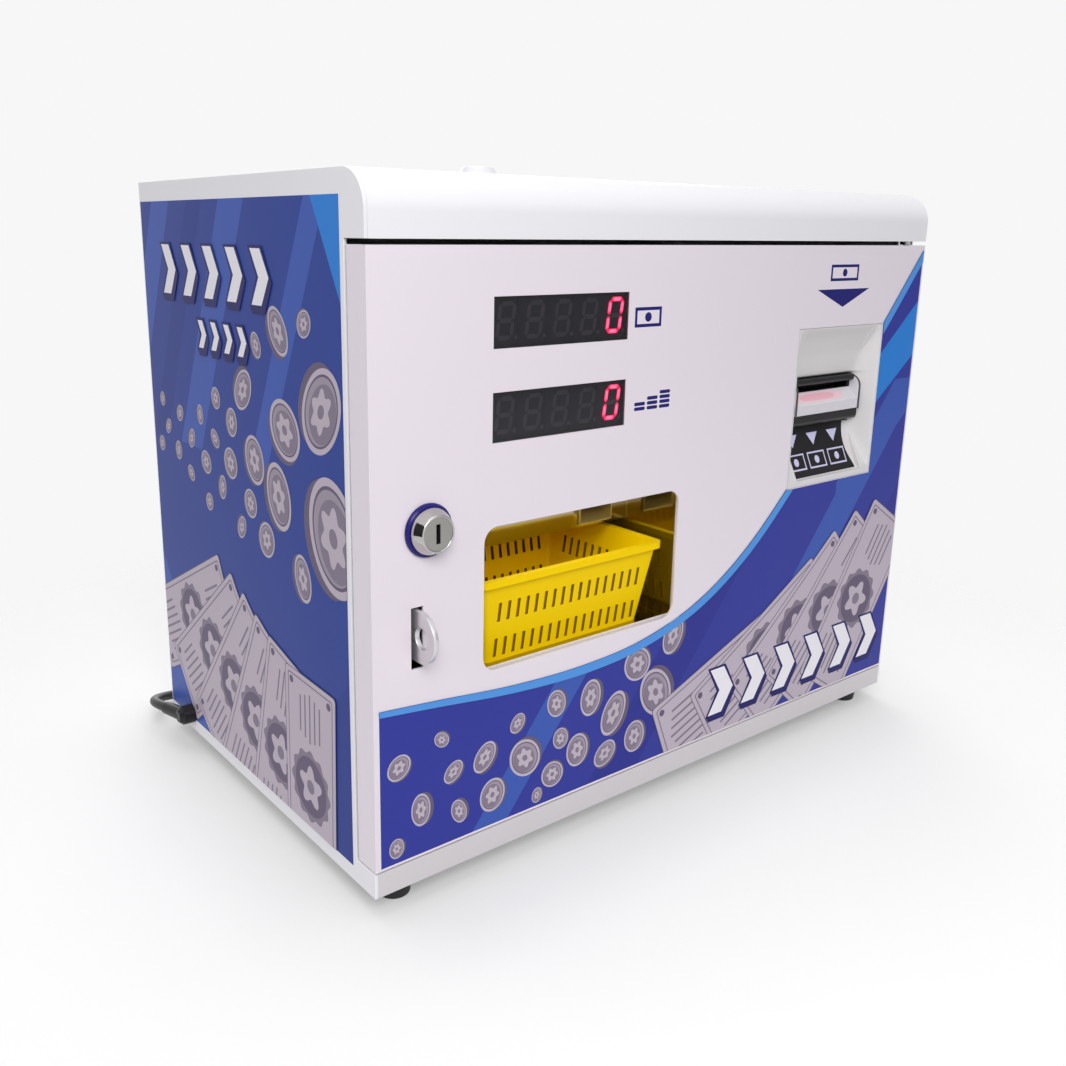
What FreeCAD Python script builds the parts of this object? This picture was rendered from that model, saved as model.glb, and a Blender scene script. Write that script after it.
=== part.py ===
import FreeCAD, Part
import math
import operator
import os

import Sketcher

# Coin changer: a sheet-metal countertop cabinet whose door carries two number displays, a bill
# acceptor and a cam lock.  Behind the door are a coin bay with a lift-out basket, a disc hopper that
# is filled through a locked hatch in the top, a power supply and a control board.
#
# All lengths are millimetres.  The cabinet frame used below starts at the cabinet's left front lower
# corner: x runs right, y runs back from the door's face, z runs up from the underside of the base.
# The part's own origin lies on the table, below the middle of the cabinet.

DRIVING_SIZES = {
    # cabinet shell
    "cabinet_width": 480,
    "cabinet_depth": 290,
    "cabinet_height": 383,
    "side_thickness": 2,
    "shell_thickness": 1.5,
    "cap_radius": 20,
    "cap_band_height": 33,
    "base_lip_height": 14.5,
    "lip_return": 17.5,
    "rear_flange_height": 15,
    "seat_clearance": 0.3,
    # louvres in the rear panel
    "vent_width": 60,
    "vent_height": 4,
    "vent_pitch": 10,
    "vent_rows": 7,
    "vent_left": 70,
    "vent_bottom": 240,
    # feet
    "foot_height": 13,
    "foot_radius": 11,
    "foot_tip_radius": 9.5,
    "foot_inset_x": 23,
    "foot_inset_y": 18,
    "foot_screw_radius": 2,
    "foot_recess_radius": 4.5,
    # door pan
    "door_thickness": 1.5,
    "door_depth": 17.7,
    "door_side_gap": 0.5,
    "door_bottom_gap": 1,
    "door_top_gap": 2.8,
    "door_back_gap": 1.6,
    "door_swing_relief": 1.9,
    "pivot_inset": 5.5,
    "pivot_depth": 12.5,
    "pivot_radius": 2.5,
    "pivot_collar_radius": 4.5,
    "pivot_head_radius": 3.3,
    "pivot_head_height": 2,
    "pivot_running_gap": 0.05,
    "pivot_engagement": 9,
    "pivot_block_size": 10,
    "pivot_block_height": 14,
    # basket window and the bay behind it
    "window_left": 72.3,
    "window_width": 154,
    "window_bottom": 114,
    "window_height": 84,
    "window_corner": 9,
    "bay_left": 68.5,
    "bay_width": 161.5,
    "bay_floor": 110,
    "bay_ceiling": 204,
    "bay_back": 122,
    "bay_curtain_front": 49,
    "bay_low_ceiling": 168.5,
    "bay_wall": 1,
    "bay_frame_front": 4.6,
    "bay_frame_width": 8,
    "bay_frame_thickness": 1.2,
    "bay_stand_inset": 14,
    "bay_stand_foot": 12,
    # basket
    "basket_left": 75,
    "basket_front": 6.1,
    "basket_width": 147,
    "basket_depth": 110,
    "basket_height": 53.5,
    "basket_rim_height": 4,
    "basket_rim_overhang": 2.6,
    "basket_taper": 8.3,
    "basket_wall": 1.8,
    "basket_floor_thickness": 2,
    "basket_corner": 4,
    "slot_width": 2.4,
    "slot_height": 12,
    "slot_pitch": 6.95,
    "slot_columns": 17,
    "side_slot_columns": 10,
    "upper_slot_bottom": 26,
    "lower_slot_bottom": 3,
    # chute that drops the coins into the basket
    "chute_left": 187,
    "chute_inner_width": 27,
    "chute_wall": 0.8,
    "chute_mouth_front": 47.5,
    "chute_mouth_bottom": 170.2,
    "chute_mouth_height": 12.6,
    "chute_top": 200,
    "chute_inlet_bottom": 188,
    # number displays
    "display_left": 77,
    "display_width": 98,
    "display_height": 27,
    "upper_display_bottom": 294.3,
    "lower_display_bottom": 244.3,
    "lens_thickness": 2,
    "lens_recess": 0.3,
    "lens_flange": 3.5,
    "display_housing_depth": 9,
    "display_housing_wall": 1.5,
    "digit_width": 18.6,
    "digit_height": 25,
    "digit_depth": 8,
    "digit_count": 5,
    "board_thickness": 1.6,
    # bill acceptor
    "acceptor_right_inset": 45.5,
    "acceptor_width": 98.1,
    "acceptor_bottom": 182,
    "acceptor_height": 110.5,
    "bezel_depth": 22,
    "bezel_flange": 5,
    "bezel_flange_thickness": 2,
    "bezel_inner_width": 76,
    "bezel_mouth_depth": 17,
    "bezel_sill": 4.5,
    "mouth_top": 256,
    "mouth_bottom": 220,
    "mouth_lip_front": 7.5,
    "tray_front": 6.5,
    "tray_bottom": 231,
    "tray_lip_height": 7,
    "tray_rise": 8,
    "tray_cheek_thickness": 2,
    "bill_slot_height": 4.8,
    "hood_front": 10.5,
    "hood_bottom": 251,
    "card_thickness": 0.6,
    "bracket_wall": 1.5,
    "bracket_gap": 0.4,
    "bracket_bottom": 42,
    "bracket_reach": 100,
    "head_reach": 92,
    "head_bottom": 197,
    "head_top": 286,
    "cassette_front": 26,
    "cassette_length": 76,
    "cassette_handle_reach": 9,
    # cam locks, one in the door and one in the hatch
    "door_lock_x": 35.2,
    "door_lock_z": 203.6,
    "lock_ring_radius": 14.5,
    "lock_ring_thickness": 2.6,
    "lock_head_radius": 12.6,
    "lock_face_radius": 10,
    "lock_head_height": 7.4,
    "hatch_lock_head_height": 5.9,
    "lock_barrel_radius": 9.4,
    "lock_barrel_length": 22,
    "lock_plug_radius": 6.6,
    "plug_face_radius": 8.9,
    "plug_face_thickness": 2,
    "plug_face_recess": 0.4,
    "lock_nut_radius": 12.6,
    "lock_nut_thickness": 4,
    "lock_running_gap": 0.05,
    "key_slot_width": 2.6,
    "key_slot_height": 10.4,
    "key_slot_depth": 14,
    "cam_length": 30,
    "cam_width": 14,
    "cam_thickness": 2,
    "cam_screw_radius": 4,
    "strike_reach": 12,
    "strike_height": 28,
    "strike_thickness": 2,
    "strike_gap": 0.5,
    "strike_foot": 14,
    # hasp tab for a padlock
    "hasp_slot_left": 24.5,
    "hasp_slot_width": 7.6,
    "hasp_slot_bottom": 128.1,
    "hasp_slot_height": 34.6,
    "hasp_tab_left": 27,
    "hasp_thickness": 3,
    "hasp_bottom": 132.5,
    "hasp_height": 29,
    "hasp_reach": 17.7,
    "hasp_hole_radius": 5.75,
    "hasp_hole_front": 5.7,
    "hasp_web_depth": 27,
    "hasp_foot": 28,
    # refill hatch in the top
    "hatch_left": 68,
    "hatch_width": 180,
    "hatch_front": 104,
    "hatch_length": 146,
    "hatch_overlap": 7,
    "hatch_thickness": 1.5,
    "hatch_rim_depth": 8,
    "hatch_rim_gap": 1,
    "hatch_lock_inset": 18,
    "hinge_knuckle_radius": 3.2,
    "hinge_pin_radius": 1.5,
    "hinge_leaf_width": 14,
    "hinge_leaf_thickness": 1.2,
    "hinge_knuckle_length": 30,
    "hinge_knuckle_gap": 0.4,
    # hopper
    "hopper_x": 158,
    "hopper_y": 160,
    "hopper_size": 138,
    "hopper_table_height": 184,
    "hopper_table_foot": 12,
    "hopper_table_wall": 2,
    "hopper_base_height": 12,
    "hopper_well_radius": 57,
    "hopper_well_depth": 7,
    "disc_radius": 56,
    "disc_thickness": 5,
    "disc_lift": 0.6,
    "disc_hole_radius": 13.2,
    "disc_hole_circle": 38,
    "disc_hole_count": 6,
    "disc_hub_radius": 11,
    "disc_hub_height": 9,
    "shaft_radius": 4,
    "shaft_running_gap": 0.05,
    "coin_exit_width": 28,
    "bowl_height": 125,
    "bowl_wall": 2.5,
    "bowl_funnel_height": 50,
    "bowl_corner": 12,
    "bowl_seat_inset": 1,
    "gearbox_size": 62,
    "gearbox_height": 34,
    "motor_radius": 19,
    "motor_length": 58,
    # power supply and control board
    "supply_right_inset": 30,
    "supply_front": 205,
    "supply_length": 150,
    "supply_depth": 76,
    "supply_height": 42,
    "supply_slot_pitch": 9,
    "supply_slot_count": 13,
    "board_right_inset": 30,
    "board_bottom": 130,
    "board_width": 150,
    "board_height": 120,
    "standoff_length": 8,
    "standoff_radius": 3,
    "standoff_inset": 6,
    "transformer_depth": 22,
    "relay_depth": 14,
    "chip_depth": 3,
    "connector_depth": 12,
    "capacitor_radius": 5.5,
    "capacitor_length": 16,
    # rear switch
    "switch_right_inset": 78,
    "switch_z": 70,
    "switch_width": 22,
    "switch_height": 30,
    "switch_flange": 3,
    "switch_flange_thickness": 2,
    "switch_body_depth": 22,
    "switch_well_depth": 9,
    "rear_reach": 3.4,
    # mains lead
    "cord_radius": 3.5,
    "gland_y": 250,
    "gland_z": 13,
    "gland_flange_radius": 8,
    "gland_flange_thickness": 2,
    "gland_neck_radius": 5.4,
    "gland_dome_radius": 6.8,
    "gland_nozzle_radius": 5.2,
    "gland_tip_radius": 4.5,
    "gland_length": 26,
    "coil_x": 150,
    "coil_y": 370,
    "coil_middle_radius": 40,
    "coil_band_width": 14,
    "coil_band_height": 27,
    "coil_exit_rise": 7,
    "coil_overlap": 4,
    "plug_x": 266,
    "plug_y": 344,
    "plug_length": 36,
    "plug_width": 27,
    "plug_height": 24,
    "plug_blade_length": 17,
}

doc = FreeCAD.newDocument("coin_changer")


# ---------------------------------------------------------------- sizes that know their formulas

def fill_sheet():
    """Put every driving size into the document's spreadsheet under its own name."""
    sheet = doc.addObject("Spreadsheet::Sheet", "sizes")
    for row, (name, number) in enumerate(DRIVING_SIZES.items(), start=1):
        sheet.set(f"A{row}", name)
        sheet.set(f"B{row}", str(number))
        sheet.setAlias(f"B{row}", name)
    doc.recompute()
    return sheet


class Size:
    """A length that carries both its number and its formula in the sheet's names."""

    def __init__(self, number, formula):
        self.number = float(number)
        self.formula = formula

    def __add__(self, other):
        return combine(self, "+", other)

    def __radd__(self, other):
        return combine(other, "+", self)

    def __sub__(self, other):
        return combine(self, "-", other)

    def __rsub__(self, other):
        return combine(other, "-", self)

    def __mul__(self, other):
        return combine(self, "*", other)

    def __rmul__(self, other):
        return combine(other, "*", self)

    def __truediv__(self, other):
        return combine(self, "/", other)

    def __neg__(self):
        return combine(0, "-", self)


OPERATIONS = {"+": operator.add, "-": operator.sub, "*": operator.mul, "/": operator.truediv}


def as_size(value):
    return value if isinstance(value, Size) else Size(value, repr(float(value)))


def combine(left, sign, right):
    left, right = as_size(left), as_size(right)
    number = OPERATIONS[sign](left.number, right.number)
    return Size(number, f"({left.formula} {sign} {right.formula})")


class SheetNames:
    """Gives each cell of the sheet as a Size under its name."""

    def __init__(self, sheet):
        self.sheet = sheet

    def __getattr__(self, name):
        return Size(self.sheet.get(name), "sizes." + name)


dim = SheetNames(fill_sheet())


def bind(thing, prop, value):
    """Tie a property to its formula, or set it when it is a plain number."""
    size = as_size(value)
    if "sizes." in size.formula:
        thing.setExpression(prop, size.formula)
    else:
        thing.setExpression(prop, repr(size.number))


# ---------------------------------------------------------------- places shared by several pieces

cabinet_corner = (
    -dim.cabinet_width / 2,
    (dim.hasp_reach - dim.cabinet_depth - dim.rear_reach) / 2,
    dim.foot_height,
)
inner_left = dim.side_thickness
inner_right = dim.cabinet_width - dim.side_thickness
inner_width = inner_right - inner_left
band_bottom = dim.cabinet_height - dim.cap_band_height
base_top = dim.shell_thickness
rear_face = dim.cabinet_depth - dim.shell_thickness
rear_inside = rear_face - dim.shell_thickness

door_left = dim.door_side_gap
door_right = dim.cabinet_width - dim.door_side_gap
door_bottom = dim.base_lip_height + dim.door_bottom_gap
door_top = band_bottom - dim.door_top_gap
pivot_x = dim.cabinet_width - dim.pivot_inset
pivot_block_left = door_right - dim.door_thickness - dim.pivot_block_size
pivot_block_front = dim.pivot_depth - dim.pivot_block_size / 2

bay_right = dim.bay_left + dim.bay_width
bay_middle = dim.bay_left + dim.bay_width / 2
bay_liner_front = dim.bay_frame_front + dim.bay_frame_thickness
chute_right = dim.chute_left + dim.chute_inner_width

acceptor_right = dim.cabinet_width - dim.acceptor_right_inset
acceptor_left = acceptor_right - dim.acceptor_width
acceptor_middle = acceptor_left + dim.acceptor_width / 2
acceptor_top = dim.acceptor_bottom + dim.acceptor_height
bracket_left = acceptor_left - dim.bracket_gap - dim.bracket_wall
bracket_right = acceptor_right + dim.bracket_gap + dim.bracket_wall
bracket_front = dim.door_thickness + dim.bezel_flange_thickness
bracket_width = bracket_right - bracket_left
bracket_top = dim.head_top + 2

hatch_back = dim.hatch_front + dim.hatch_length
hatch_lid_top = dim.cabinet_height + dim.hatch_thickness
hinge_axis_y = hatch_back + dim.hatch_overlap + dim.hinge_knuckle_radius
hinge_axis_z = dim.cabinet_height + dim.hinge_knuckle_radius
hatch_lock_x = dim.hatch_left + dim.hatch_width / 2
hatch_lock_y = dim.hatch_front + dim.hatch_lock_inset

hopper_left = dim.hopper_x - dim.hopper_size / 2
hopper_front = dim.hopper_y - dim.hopper_size / 2
hopper_base_bottom = base_top + dim.hopper_table_height
hopper_base_top = hopper_base_bottom + dim.hopper_base_height
well_floor = hopper_base_top - dim.hopper_well_depth
disc_bottom = well_floor + dim.disc_lift
chute_middle = dim.chute_left + dim.chute_inner_width / 2
coin_exit_left = chute_middle - dim.coin_exit_width / 2

supply_left = dim.cabinet_width - dim.supply_right_inset - dim.supply_length
board_left = dim.cabinet_width - dim.board_right_inset - dim.board_width
switch_x = dim.cabinet_width - dim.switch_right_inset

UPRIGHT = FreeCAD.Rotation()
FACING_UP = FreeCAD.Rotation(FreeCAD.Vector(1, 0, 0), -90)


# ---------------------------------------------------------------- small modelling helpers

def place(thing, x=0, y=0, z=0, turn=UPRIGHT):
    """Set a piece down at x, y, z in the cabinet frame."""
    thing.Placement = FreeCAD.Placement(FreeCAD.Vector(), turn)
    for axis, start, offset in zip("xyz", cabinet_corner, (x, y, z)):
        bind(thing, f"Placement.Base.{axis}", start + offset)
    return thing


def new_body(name, x=0, y=0, z=0, turn=UPRIGHT):
    body = doc.addObject("PartDesign::Body", name)
    body.Label = name
    return place(body, x, y, z, turn)


def new_sketch(body, facing, distance=0):
    """Sketch on a plane of the body: 'front' looks back, 'side' looks left, 'plan' looks down.

    distance moves the plane back, right or up.
    """
    role = {"front": "XZ_Plane", "side": "YZ_Plane", "plan": "XY_Plane"}[facing]
    origin_plane = [item for item in body.Origin.OriginFeatures if item.Role == role][0]
    sketch = body.newObject("Sketcher::SketchObject", f"{body.Name}_{facing}")
    sketch.AttachmentSupport = [(origin_plane, "")]
    sketch.MapMode = "FlatFace"
    offset = -as_size(distance) if facing == "front" else as_size(distance)
    bind(sketch, "AttachmentOffset.Base.z", offset)
    return sketch


def fix(sketch, geometry, end, along, value):
    """Hold one coordinate of a point at its distance from the sketch's origin."""
    size = as_size(value)
    if abs(size.number) < 1e-9:
        axis = -2 if along == "X" else -1
        sketch.addConstraint(Sketcher.Constraint("PointOnObject", geometry, end, axis))
        return
    ends = (-1, 1, geometry, end) if size.number > 0 else (geometry, end, -1, 1)
    held = size if size.number > 0 else -size
    index = sketch.addConstraint(Sketcher.Constraint("Distance" + along, *ends, held.number))
    bind(sketch, f"Constraints[{index}]", held)


def hold_radius(sketch, geometry, value):
    size = as_size(value)
    index = sketch.addConstraint(Sketcher.Constraint("Radius", geometry, size.number))
    bind(sketch, f"Constraints[{index}]", size)


def corner_arc(sketch, corner, before, after, radius):
    """Quarter arc that rounds a corner between two square edges; gives its ends in travel order."""
    start = corner - before * radius
    finish = corner + after * radius
    centre = start + after * radius
    turns_left = before.x * after.y - before.y * after.x > 0
    first, last = (start, finish) if turns_left else (finish, start)
    angles = [math.atan2(point.y - centre.y, point.x - centre.x) for point in (first, last)]
    circle = Part.Circle(centre, FreeCAD.Vector(0, 0, 1), radius)
    arc = sketch.addGeometry(Part.ArcOfCircle(circle, *angles))
    return (arc, 1, 2) if turns_left else (arc, 2, 1)


def square_outline(sketch, corners):
    """Closed outline of level and upright edges; a corner may carry a third value, its radius."""
    points = [FreeCAD.Vector(as_size(c[0]).number, as_size(c[1]).number, 0) for c in corners]
    radii = [as_size(c[2]) if len(c) > 2 else None for c in corners]
    count = len(corners)
    ways = [(points[(i + 1) % count] - points[i]).normalize() for i in range(count)]
    edges = []
    for i, way in enumerate(ways):
        start, finish = points[i], points[(i + 1) % count]
        if radii[i]:
            start = start + way * radii[i].number
        if radii[(i + 1) % count]:
            finish = finish - way * radii[(i + 1) % count].number
        edge = sketch.addGeometry(Part.LineSegment(start, finish))
        level = abs(way.y) < 1e-6
        sketch.addConstraint(Sketcher.Constraint("Horizontal" if level else "Vertical", edge))
        fix(sketch, edge, 1, "Y" if level else "X", corners[i][1 if level else 0])
        edges.append(edge)
    for i, radius in enumerate(radii):
        before, after = edges[i - 1], edges[i]
        if radius is None:
            sketch.addConstraint(Sketcher.Constraint("Coincident", before, 2, after, 1))
            continue
        arc, entry, leave = corner_arc(sketch, points[i], ways[i - 1], ways[i], radius.number)
        sketch.addConstraint(Sketcher.Constraint("Tangent", before, 2, arc, entry))
        sketch.addConstraint(Sketcher.Constraint("Tangent", arc, leave, after, 1))
        hold_radius(sketch, arc, radius)


def rectangle(sketch, x0, y0, x1, y1, radius=None):
    corners = [(x0, y0), (x1, y0), (x1, y1), (x0, y1)]
    if radius is not None:
        corners = [corner + (radius,) for corner in corners]
    square_outline(sketch, corners)


def footed_arch(sketch, left, right, top, wall, foot):
    """Outline of a bent stand on the base: two legs with feet turned out, joined by a flat top."""
    square_outline(sketch, [
        (left - foot, base_top), (left + wall, base_top), (left + wall, top - wall),
        (right - wall, top - wall), (right - wall, base_top), (right + foot, base_top),
        (right + foot, base_top + wall), (right, base_top + wall), (right, top), (left, top),
        (left, base_top + wall), (left - foot, base_top + wall),
    ])


def centred_rectangle(sketch, width, height, radius=None):
    rectangle(sketch, -width / 2, -height / 2, width / 2, height / 2, radius)


def sloped_outline(sketch, corners):
    """Closed outline of straight edges in any direction, each corner held where it is given."""
    points = [FreeCAD.Vector(as_size(x).number, as_size(y).number, 0) for x, y in corners]
    count = len(points)
    edges = []
    for i, point in enumerate(points):
        edges.append(sketch.addGeometry(Part.LineSegment(point, points[(i + 1) % count])))
    for i, edge in enumerate(edges):
        sketch.addConstraint(Sketcher.Constraint("Coincident", edges[i - 1], 2, edge, 1))
        fix(sketch, edge, 1, "X", corners[i][0])
        fix(sketch, edge, 1, "Y", corners[i][1])


def circle(sketch, x, y, radius):
    centre = FreeCAD.Vector(as_size(x).number, as_size(y).number, 0)
    number = as_size(radius).number
    index = sketch.addGeometry(Part.Circle(centre, FreeCAD.Vector(0, 0, 1), number))
    fix(sketch, index, 3, "X", x)
    fix(sketch, index, 3, "Y", y)
    hold_radius(sketch, index, radius)


def add_feature(body, kind, sketch, **sizes):
    feature = body.newObject("PartDesign::" + kind, f"{body.Name}_{kind.lower()}")
    feature.Profile = sketch
    for prop, value in sizes.items():
        bind(feature, prop, value)
    return feature


def pad(body, sketch, length):
    """Add material towards the back, the right or up, whichever way the sketch's plane faces."""
    feature = add_feature(body, "Pad", sketch, Length=length)
    feature.Reversed = sketch.AttachmentSupport[0][0].Role == "XZ_Plane"
    return feature


def pocket(body, sketch, depth):
    """Cut material towards the back, the right or up; the cut has to take something away."""
    before = solid_volume(body)
    feature = add_feature(body, "Pocket", sketch, Length=depth)
    feature.Reversed = sketch.AttachmentSupport[0][0].Role != "XZ_Plane"
    doc.recompute()
    if solid_volume(body) >= before - 1e-6:
        raise RuntimeError(f"a pocket in {body.Name} cuts nothing")
    return feature


def solid_volume(body):
    doc.recompute()
    return body.Shape.Volume


def revolve(body, sketch):
    """Turn the outline about the sketch's upright axis."""
    feature = add_feature(body, "Revolution", sketch, Angle=360)
    feature.ReferenceAxis = (sketch, ["V_Axis"])
    return feature


def pattern(body, kind, feature, axis, **settings):
    repeated = body.newObject("PartDesign::" + kind, f"{body.Name}_{kind.lower()}")
    repeated.Originals = [feature]
    if kind == "LinearPattern":
        repeated.Direction = (feature.Profile[0], [axis])
    else:
        repeated.Axis = (feature.Profile[0], [axis])
    for prop, value in settings.items():
        bind(repeated, prop, value)
    body.Tip = repeated
    return repeated


def row_of(body, feature, pitch, count):
    return pattern(body, "LinearPattern", feature, "H_Axis",
                   Length=pitch * (count - 1), Occurrences=count)


def loft(body, kind, lower, upper):
    feature = add_feature(body, kind, lower)
    feature.Sections = [upper]
    feature.Ruled = True
    return feature


def box(name, start, size):
    """Plain block from its left front lower corner."""
    block = doc.addObject("Part::Box", name)
    for prop, value in zip(("Length", "Width", "Height"), size):
        bind(block, prop, value)
    return place(block, *start)


def rod(name, start, radius, length, turn=UPRIGHT):
    """Round bar from the middle of its first end; upright unless it is turned."""
    bar = doc.addObject("Part::Cylinder", name)
    bind(bar, "Radius", radius)
    bind(bar, "Height", length)
    return place(bar, *start, turn)


def fused(name, pieces):
    joined = doc.addObject("Part::MultiFuse", name)
    joined.Shapes = pieces
    joined.Label = name
    return joined


def grouped(name, pieces):
    """Several separate solids of one kind in one node."""
    group = doc.addObject("Part::Compound", name)
    group.Links = pieces
    group.Label = name
    return group


def cut(name, base, tool):
    result = doc.addObject("Part::Cut", name)
    result.Base = base
    result.Tool = tool
    result.Label = name
    return result


# ---------------------------------------------------------------- cabinet shell

def side_panel(name, x, notch_depth):
    """Flat C-shaped side plate: a rounded cap above and a lip below the door's side flange."""
    body = new_body(name, x)
    sketch = new_sketch(body, "side")
    square_outline(sketch, [
        (0, 0),
        (dim.cabinet_depth, 0),
        (dim.cabinet_depth, dim.cabinet_height),
        (0, dim.cabinet_height, dim.cap_radius),
        (0, band_bottom),
        (notch_depth, band_bottom),
        (notch_depth, dim.base_lip_height),
        (0, dim.base_lip_height),
    ])
    pad(body, sketch, dim.side_thickness)
    return body


def left_side_panel():
    body = side_panel("side_panel_left", 0, dim.door_depth + dim.door_back_gap)
    sketch = new_sketch(body, "side")
    circle(sketch, dim.gland_y, dim.gland_z, dim.gland_neck_radius)
    pocket(body, sketch, dim.side_thickness)
    return body


def right_side_panel():
    notch_depth = dim.door_depth + dim.door_back_gap + dim.door_swing_relief
    return side_panel("side_panel_right", inner_right, notch_depth)


def top_cover():
    """Bent sheet: lip over the door, front band, rounded edge, top and rear flange."""
    wall = dim.shell_thickness
    body = new_body("top_cover", inner_left)
    sketch = new_sketch(body, "side")
    square_outline(sketch, [
        (0, band_bottom),
        (dim.lip_return, band_bottom),
        (dim.lip_return, band_bottom + wall),
        (wall, band_bottom + wall),
        (wall, dim.cabinet_height - wall, dim.cap_radius - wall),
        (rear_face, dim.cabinet_height - wall),
        (rear_face, dim.cabinet_height - dim.rear_flange_height),
        (dim.cabinet_depth, dim.cabinet_height - dim.rear_flange_height),
        (dim.cabinet_depth, dim.cabinet_height),
        (0, dim.cabinet_height, dim.cap_radius),
    ])
    pad(body, sketch, inner_width)
    opening = new_sketch(body, "plan", dim.cabinet_height - 2 * wall)
    left = dim.hatch_left - inner_left
    rectangle(opening, left, dim.hatch_front, left + dim.hatch_width, hatch_back, 6)
    pocket(body, opening, 3 * wall)
    pivot_hole = new_sketch(body, "plan", band_bottom)
    circle(pivot_hole, pivot_x - inner_left, dim.pivot_depth, dim.pivot_radius)
    pocket(body, pivot_hole, wall)
    return body


def base_tray():
    """Bent sheet: floor, front lip with its return under the door, and rear flange."""
    wall = dim.shell_thickness
    body = new_body("base_tray", inner_left)
    sketch = new_sketch(body, "side")
    square_outline(sketch, [
        (0, 0),
        (dim.cabinet_depth, 0),
        (dim.cabinet_depth, dim.rear_flange_height),
        (rear_face, dim.rear_flange_height),
        (rear_face, wall),
        (wall, wall),
        (wall, dim.base_lip_height - wall),
        (dim.lip_return, dim.base_lip_height - wall),
        (dim.lip_return, dim.base_lip_height),
        (0, dim.base_lip_height),
    ])
    pad(body, sketch, inner_width)
    holes = new_sketch(body, "plan")
    for x in (dim.foot_inset_x, dim.cabinet_width - dim.foot_inset_x):
        for y in (dim.foot_inset_y, dim.cabinet_depth - dim.foot_inset_y):
            circle(holes, x - inner_left, y, dim.foot_screw_radius)
    pocket(body, holes, wall)
    pivot_hole = new_sketch(body, "plan", dim.base_lip_height - wall)
    circle(pivot_hole, pivot_x - inner_left, dim.pivot_depth, dim.pivot_radius)
    pocket(body, pivot_hole, wall)
    return body


def rear_panel():
    """Flat back inside the flanges, with two columns of vent slots and the switch's cut-out."""
    body = new_body("rear_panel", 0, rear_inside, 0)
    sketch = new_sketch(body, "front")
    rectangle(sketch, inner_left, base_top, inner_right, dim.cabinet_height - base_top)
    pad(body, sketch, dim.shell_thickness)
    switch = new_sketch(body, "front")
    rectangle(switch,
              switch_x - dim.switch_width / 2, dim.switch_z - dim.switch_height / 2,
              switch_x + dim.switch_width / 2, dim.switch_z + dim.switch_height / 2)
    pocket(body, switch, dim.shell_thickness)
    slots = new_sketch(body, "front")
    for left in (dim.vent_left, dim.cabinet_width - dim.vent_left - dim.vent_width):
        rectangle(slots, left, dim.vent_bottom, left + dim.vent_width,
                  dim.vent_bottom + dim.vent_height, dim.vent_height * 0.45)
    first_row = pocket(body, slots, dim.shell_thickness)
    pattern(body, "LinearPattern", first_row, "V_Axis",
            Length=dim.vent_pitch * (dim.vent_rows - 1), Occurrences=dim.vent_rows)
    return body


def foot_places():
    for column, x in enumerate((dim.foot_inset_x, dim.cabinet_width - dim.foot_inset_x)):
        for row, y in enumerate((dim.foot_inset_y, dim.cabinet_depth - dim.foot_inset_y)):
            yield f"{column}{row}", x, y


def rubber_feet():
    """Four tapered rubber feet, each recessed from below for its screw."""
    feet = []
    recess_depth = dim.foot_height * 0.55
    for tag, x, y in foot_places():
        foot = doc.addObject("Part::Cone", "foot_form_" + tag)
        bind(foot, "Radius1", dim.foot_tip_radius)
        bind(foot, "Radius2", dim.foot_radius)
        bind(foot, "Height", dim.foot_height)
        place(foot, x, y, -dim.foot_height)
        recess = rod("foot_recess_" + tag, (x, y, -dim.foot_height), dim.foot_recess_radius,
                     recess_depth)
        hole = rod("foot_hole_" + tag, (x, y, -dim.foot_height), dim.foot_screw_radius,
                   dim.foot_height)
        feet.append(cut("foot_" + tag, foot, fused("foot_cuts_" + tag, [recess, hole])))
    return grouped("rubber_feet", feet)


def foot_screws():
    """Pan-head screws that hold the feet, with their nuts inside the base."""
    screws = []
    for tag, x, y in foot_places():
        head_bottom = dim.foot_height * 0.45
        head = rod("foot_screw_head_" + tag, (x, y, -head_bottom - 2), dim.foot_screw_radius * 1.9, 2)
        shank = rod("foot_screw_shank_" + tag, (x, y, -head_bottom), dim.foot_screw_radius,
                    head_bottom + base_top + 4)
        nut = doc.addObject("Part::Prism", "foot_nut_" + tag)
        nut.Polygon = 6
        bind(nut, "Circumradius", dim.foot_screw_radius * 2)
        nut.Height = 3
        place(nut, x, y, base_top)
        screws.append(fused("foot_screw_" + tag, [head, shank, nut]))
    return grouped("foot_screws", screws)


# ---------------------------------------------------------------- door

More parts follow.
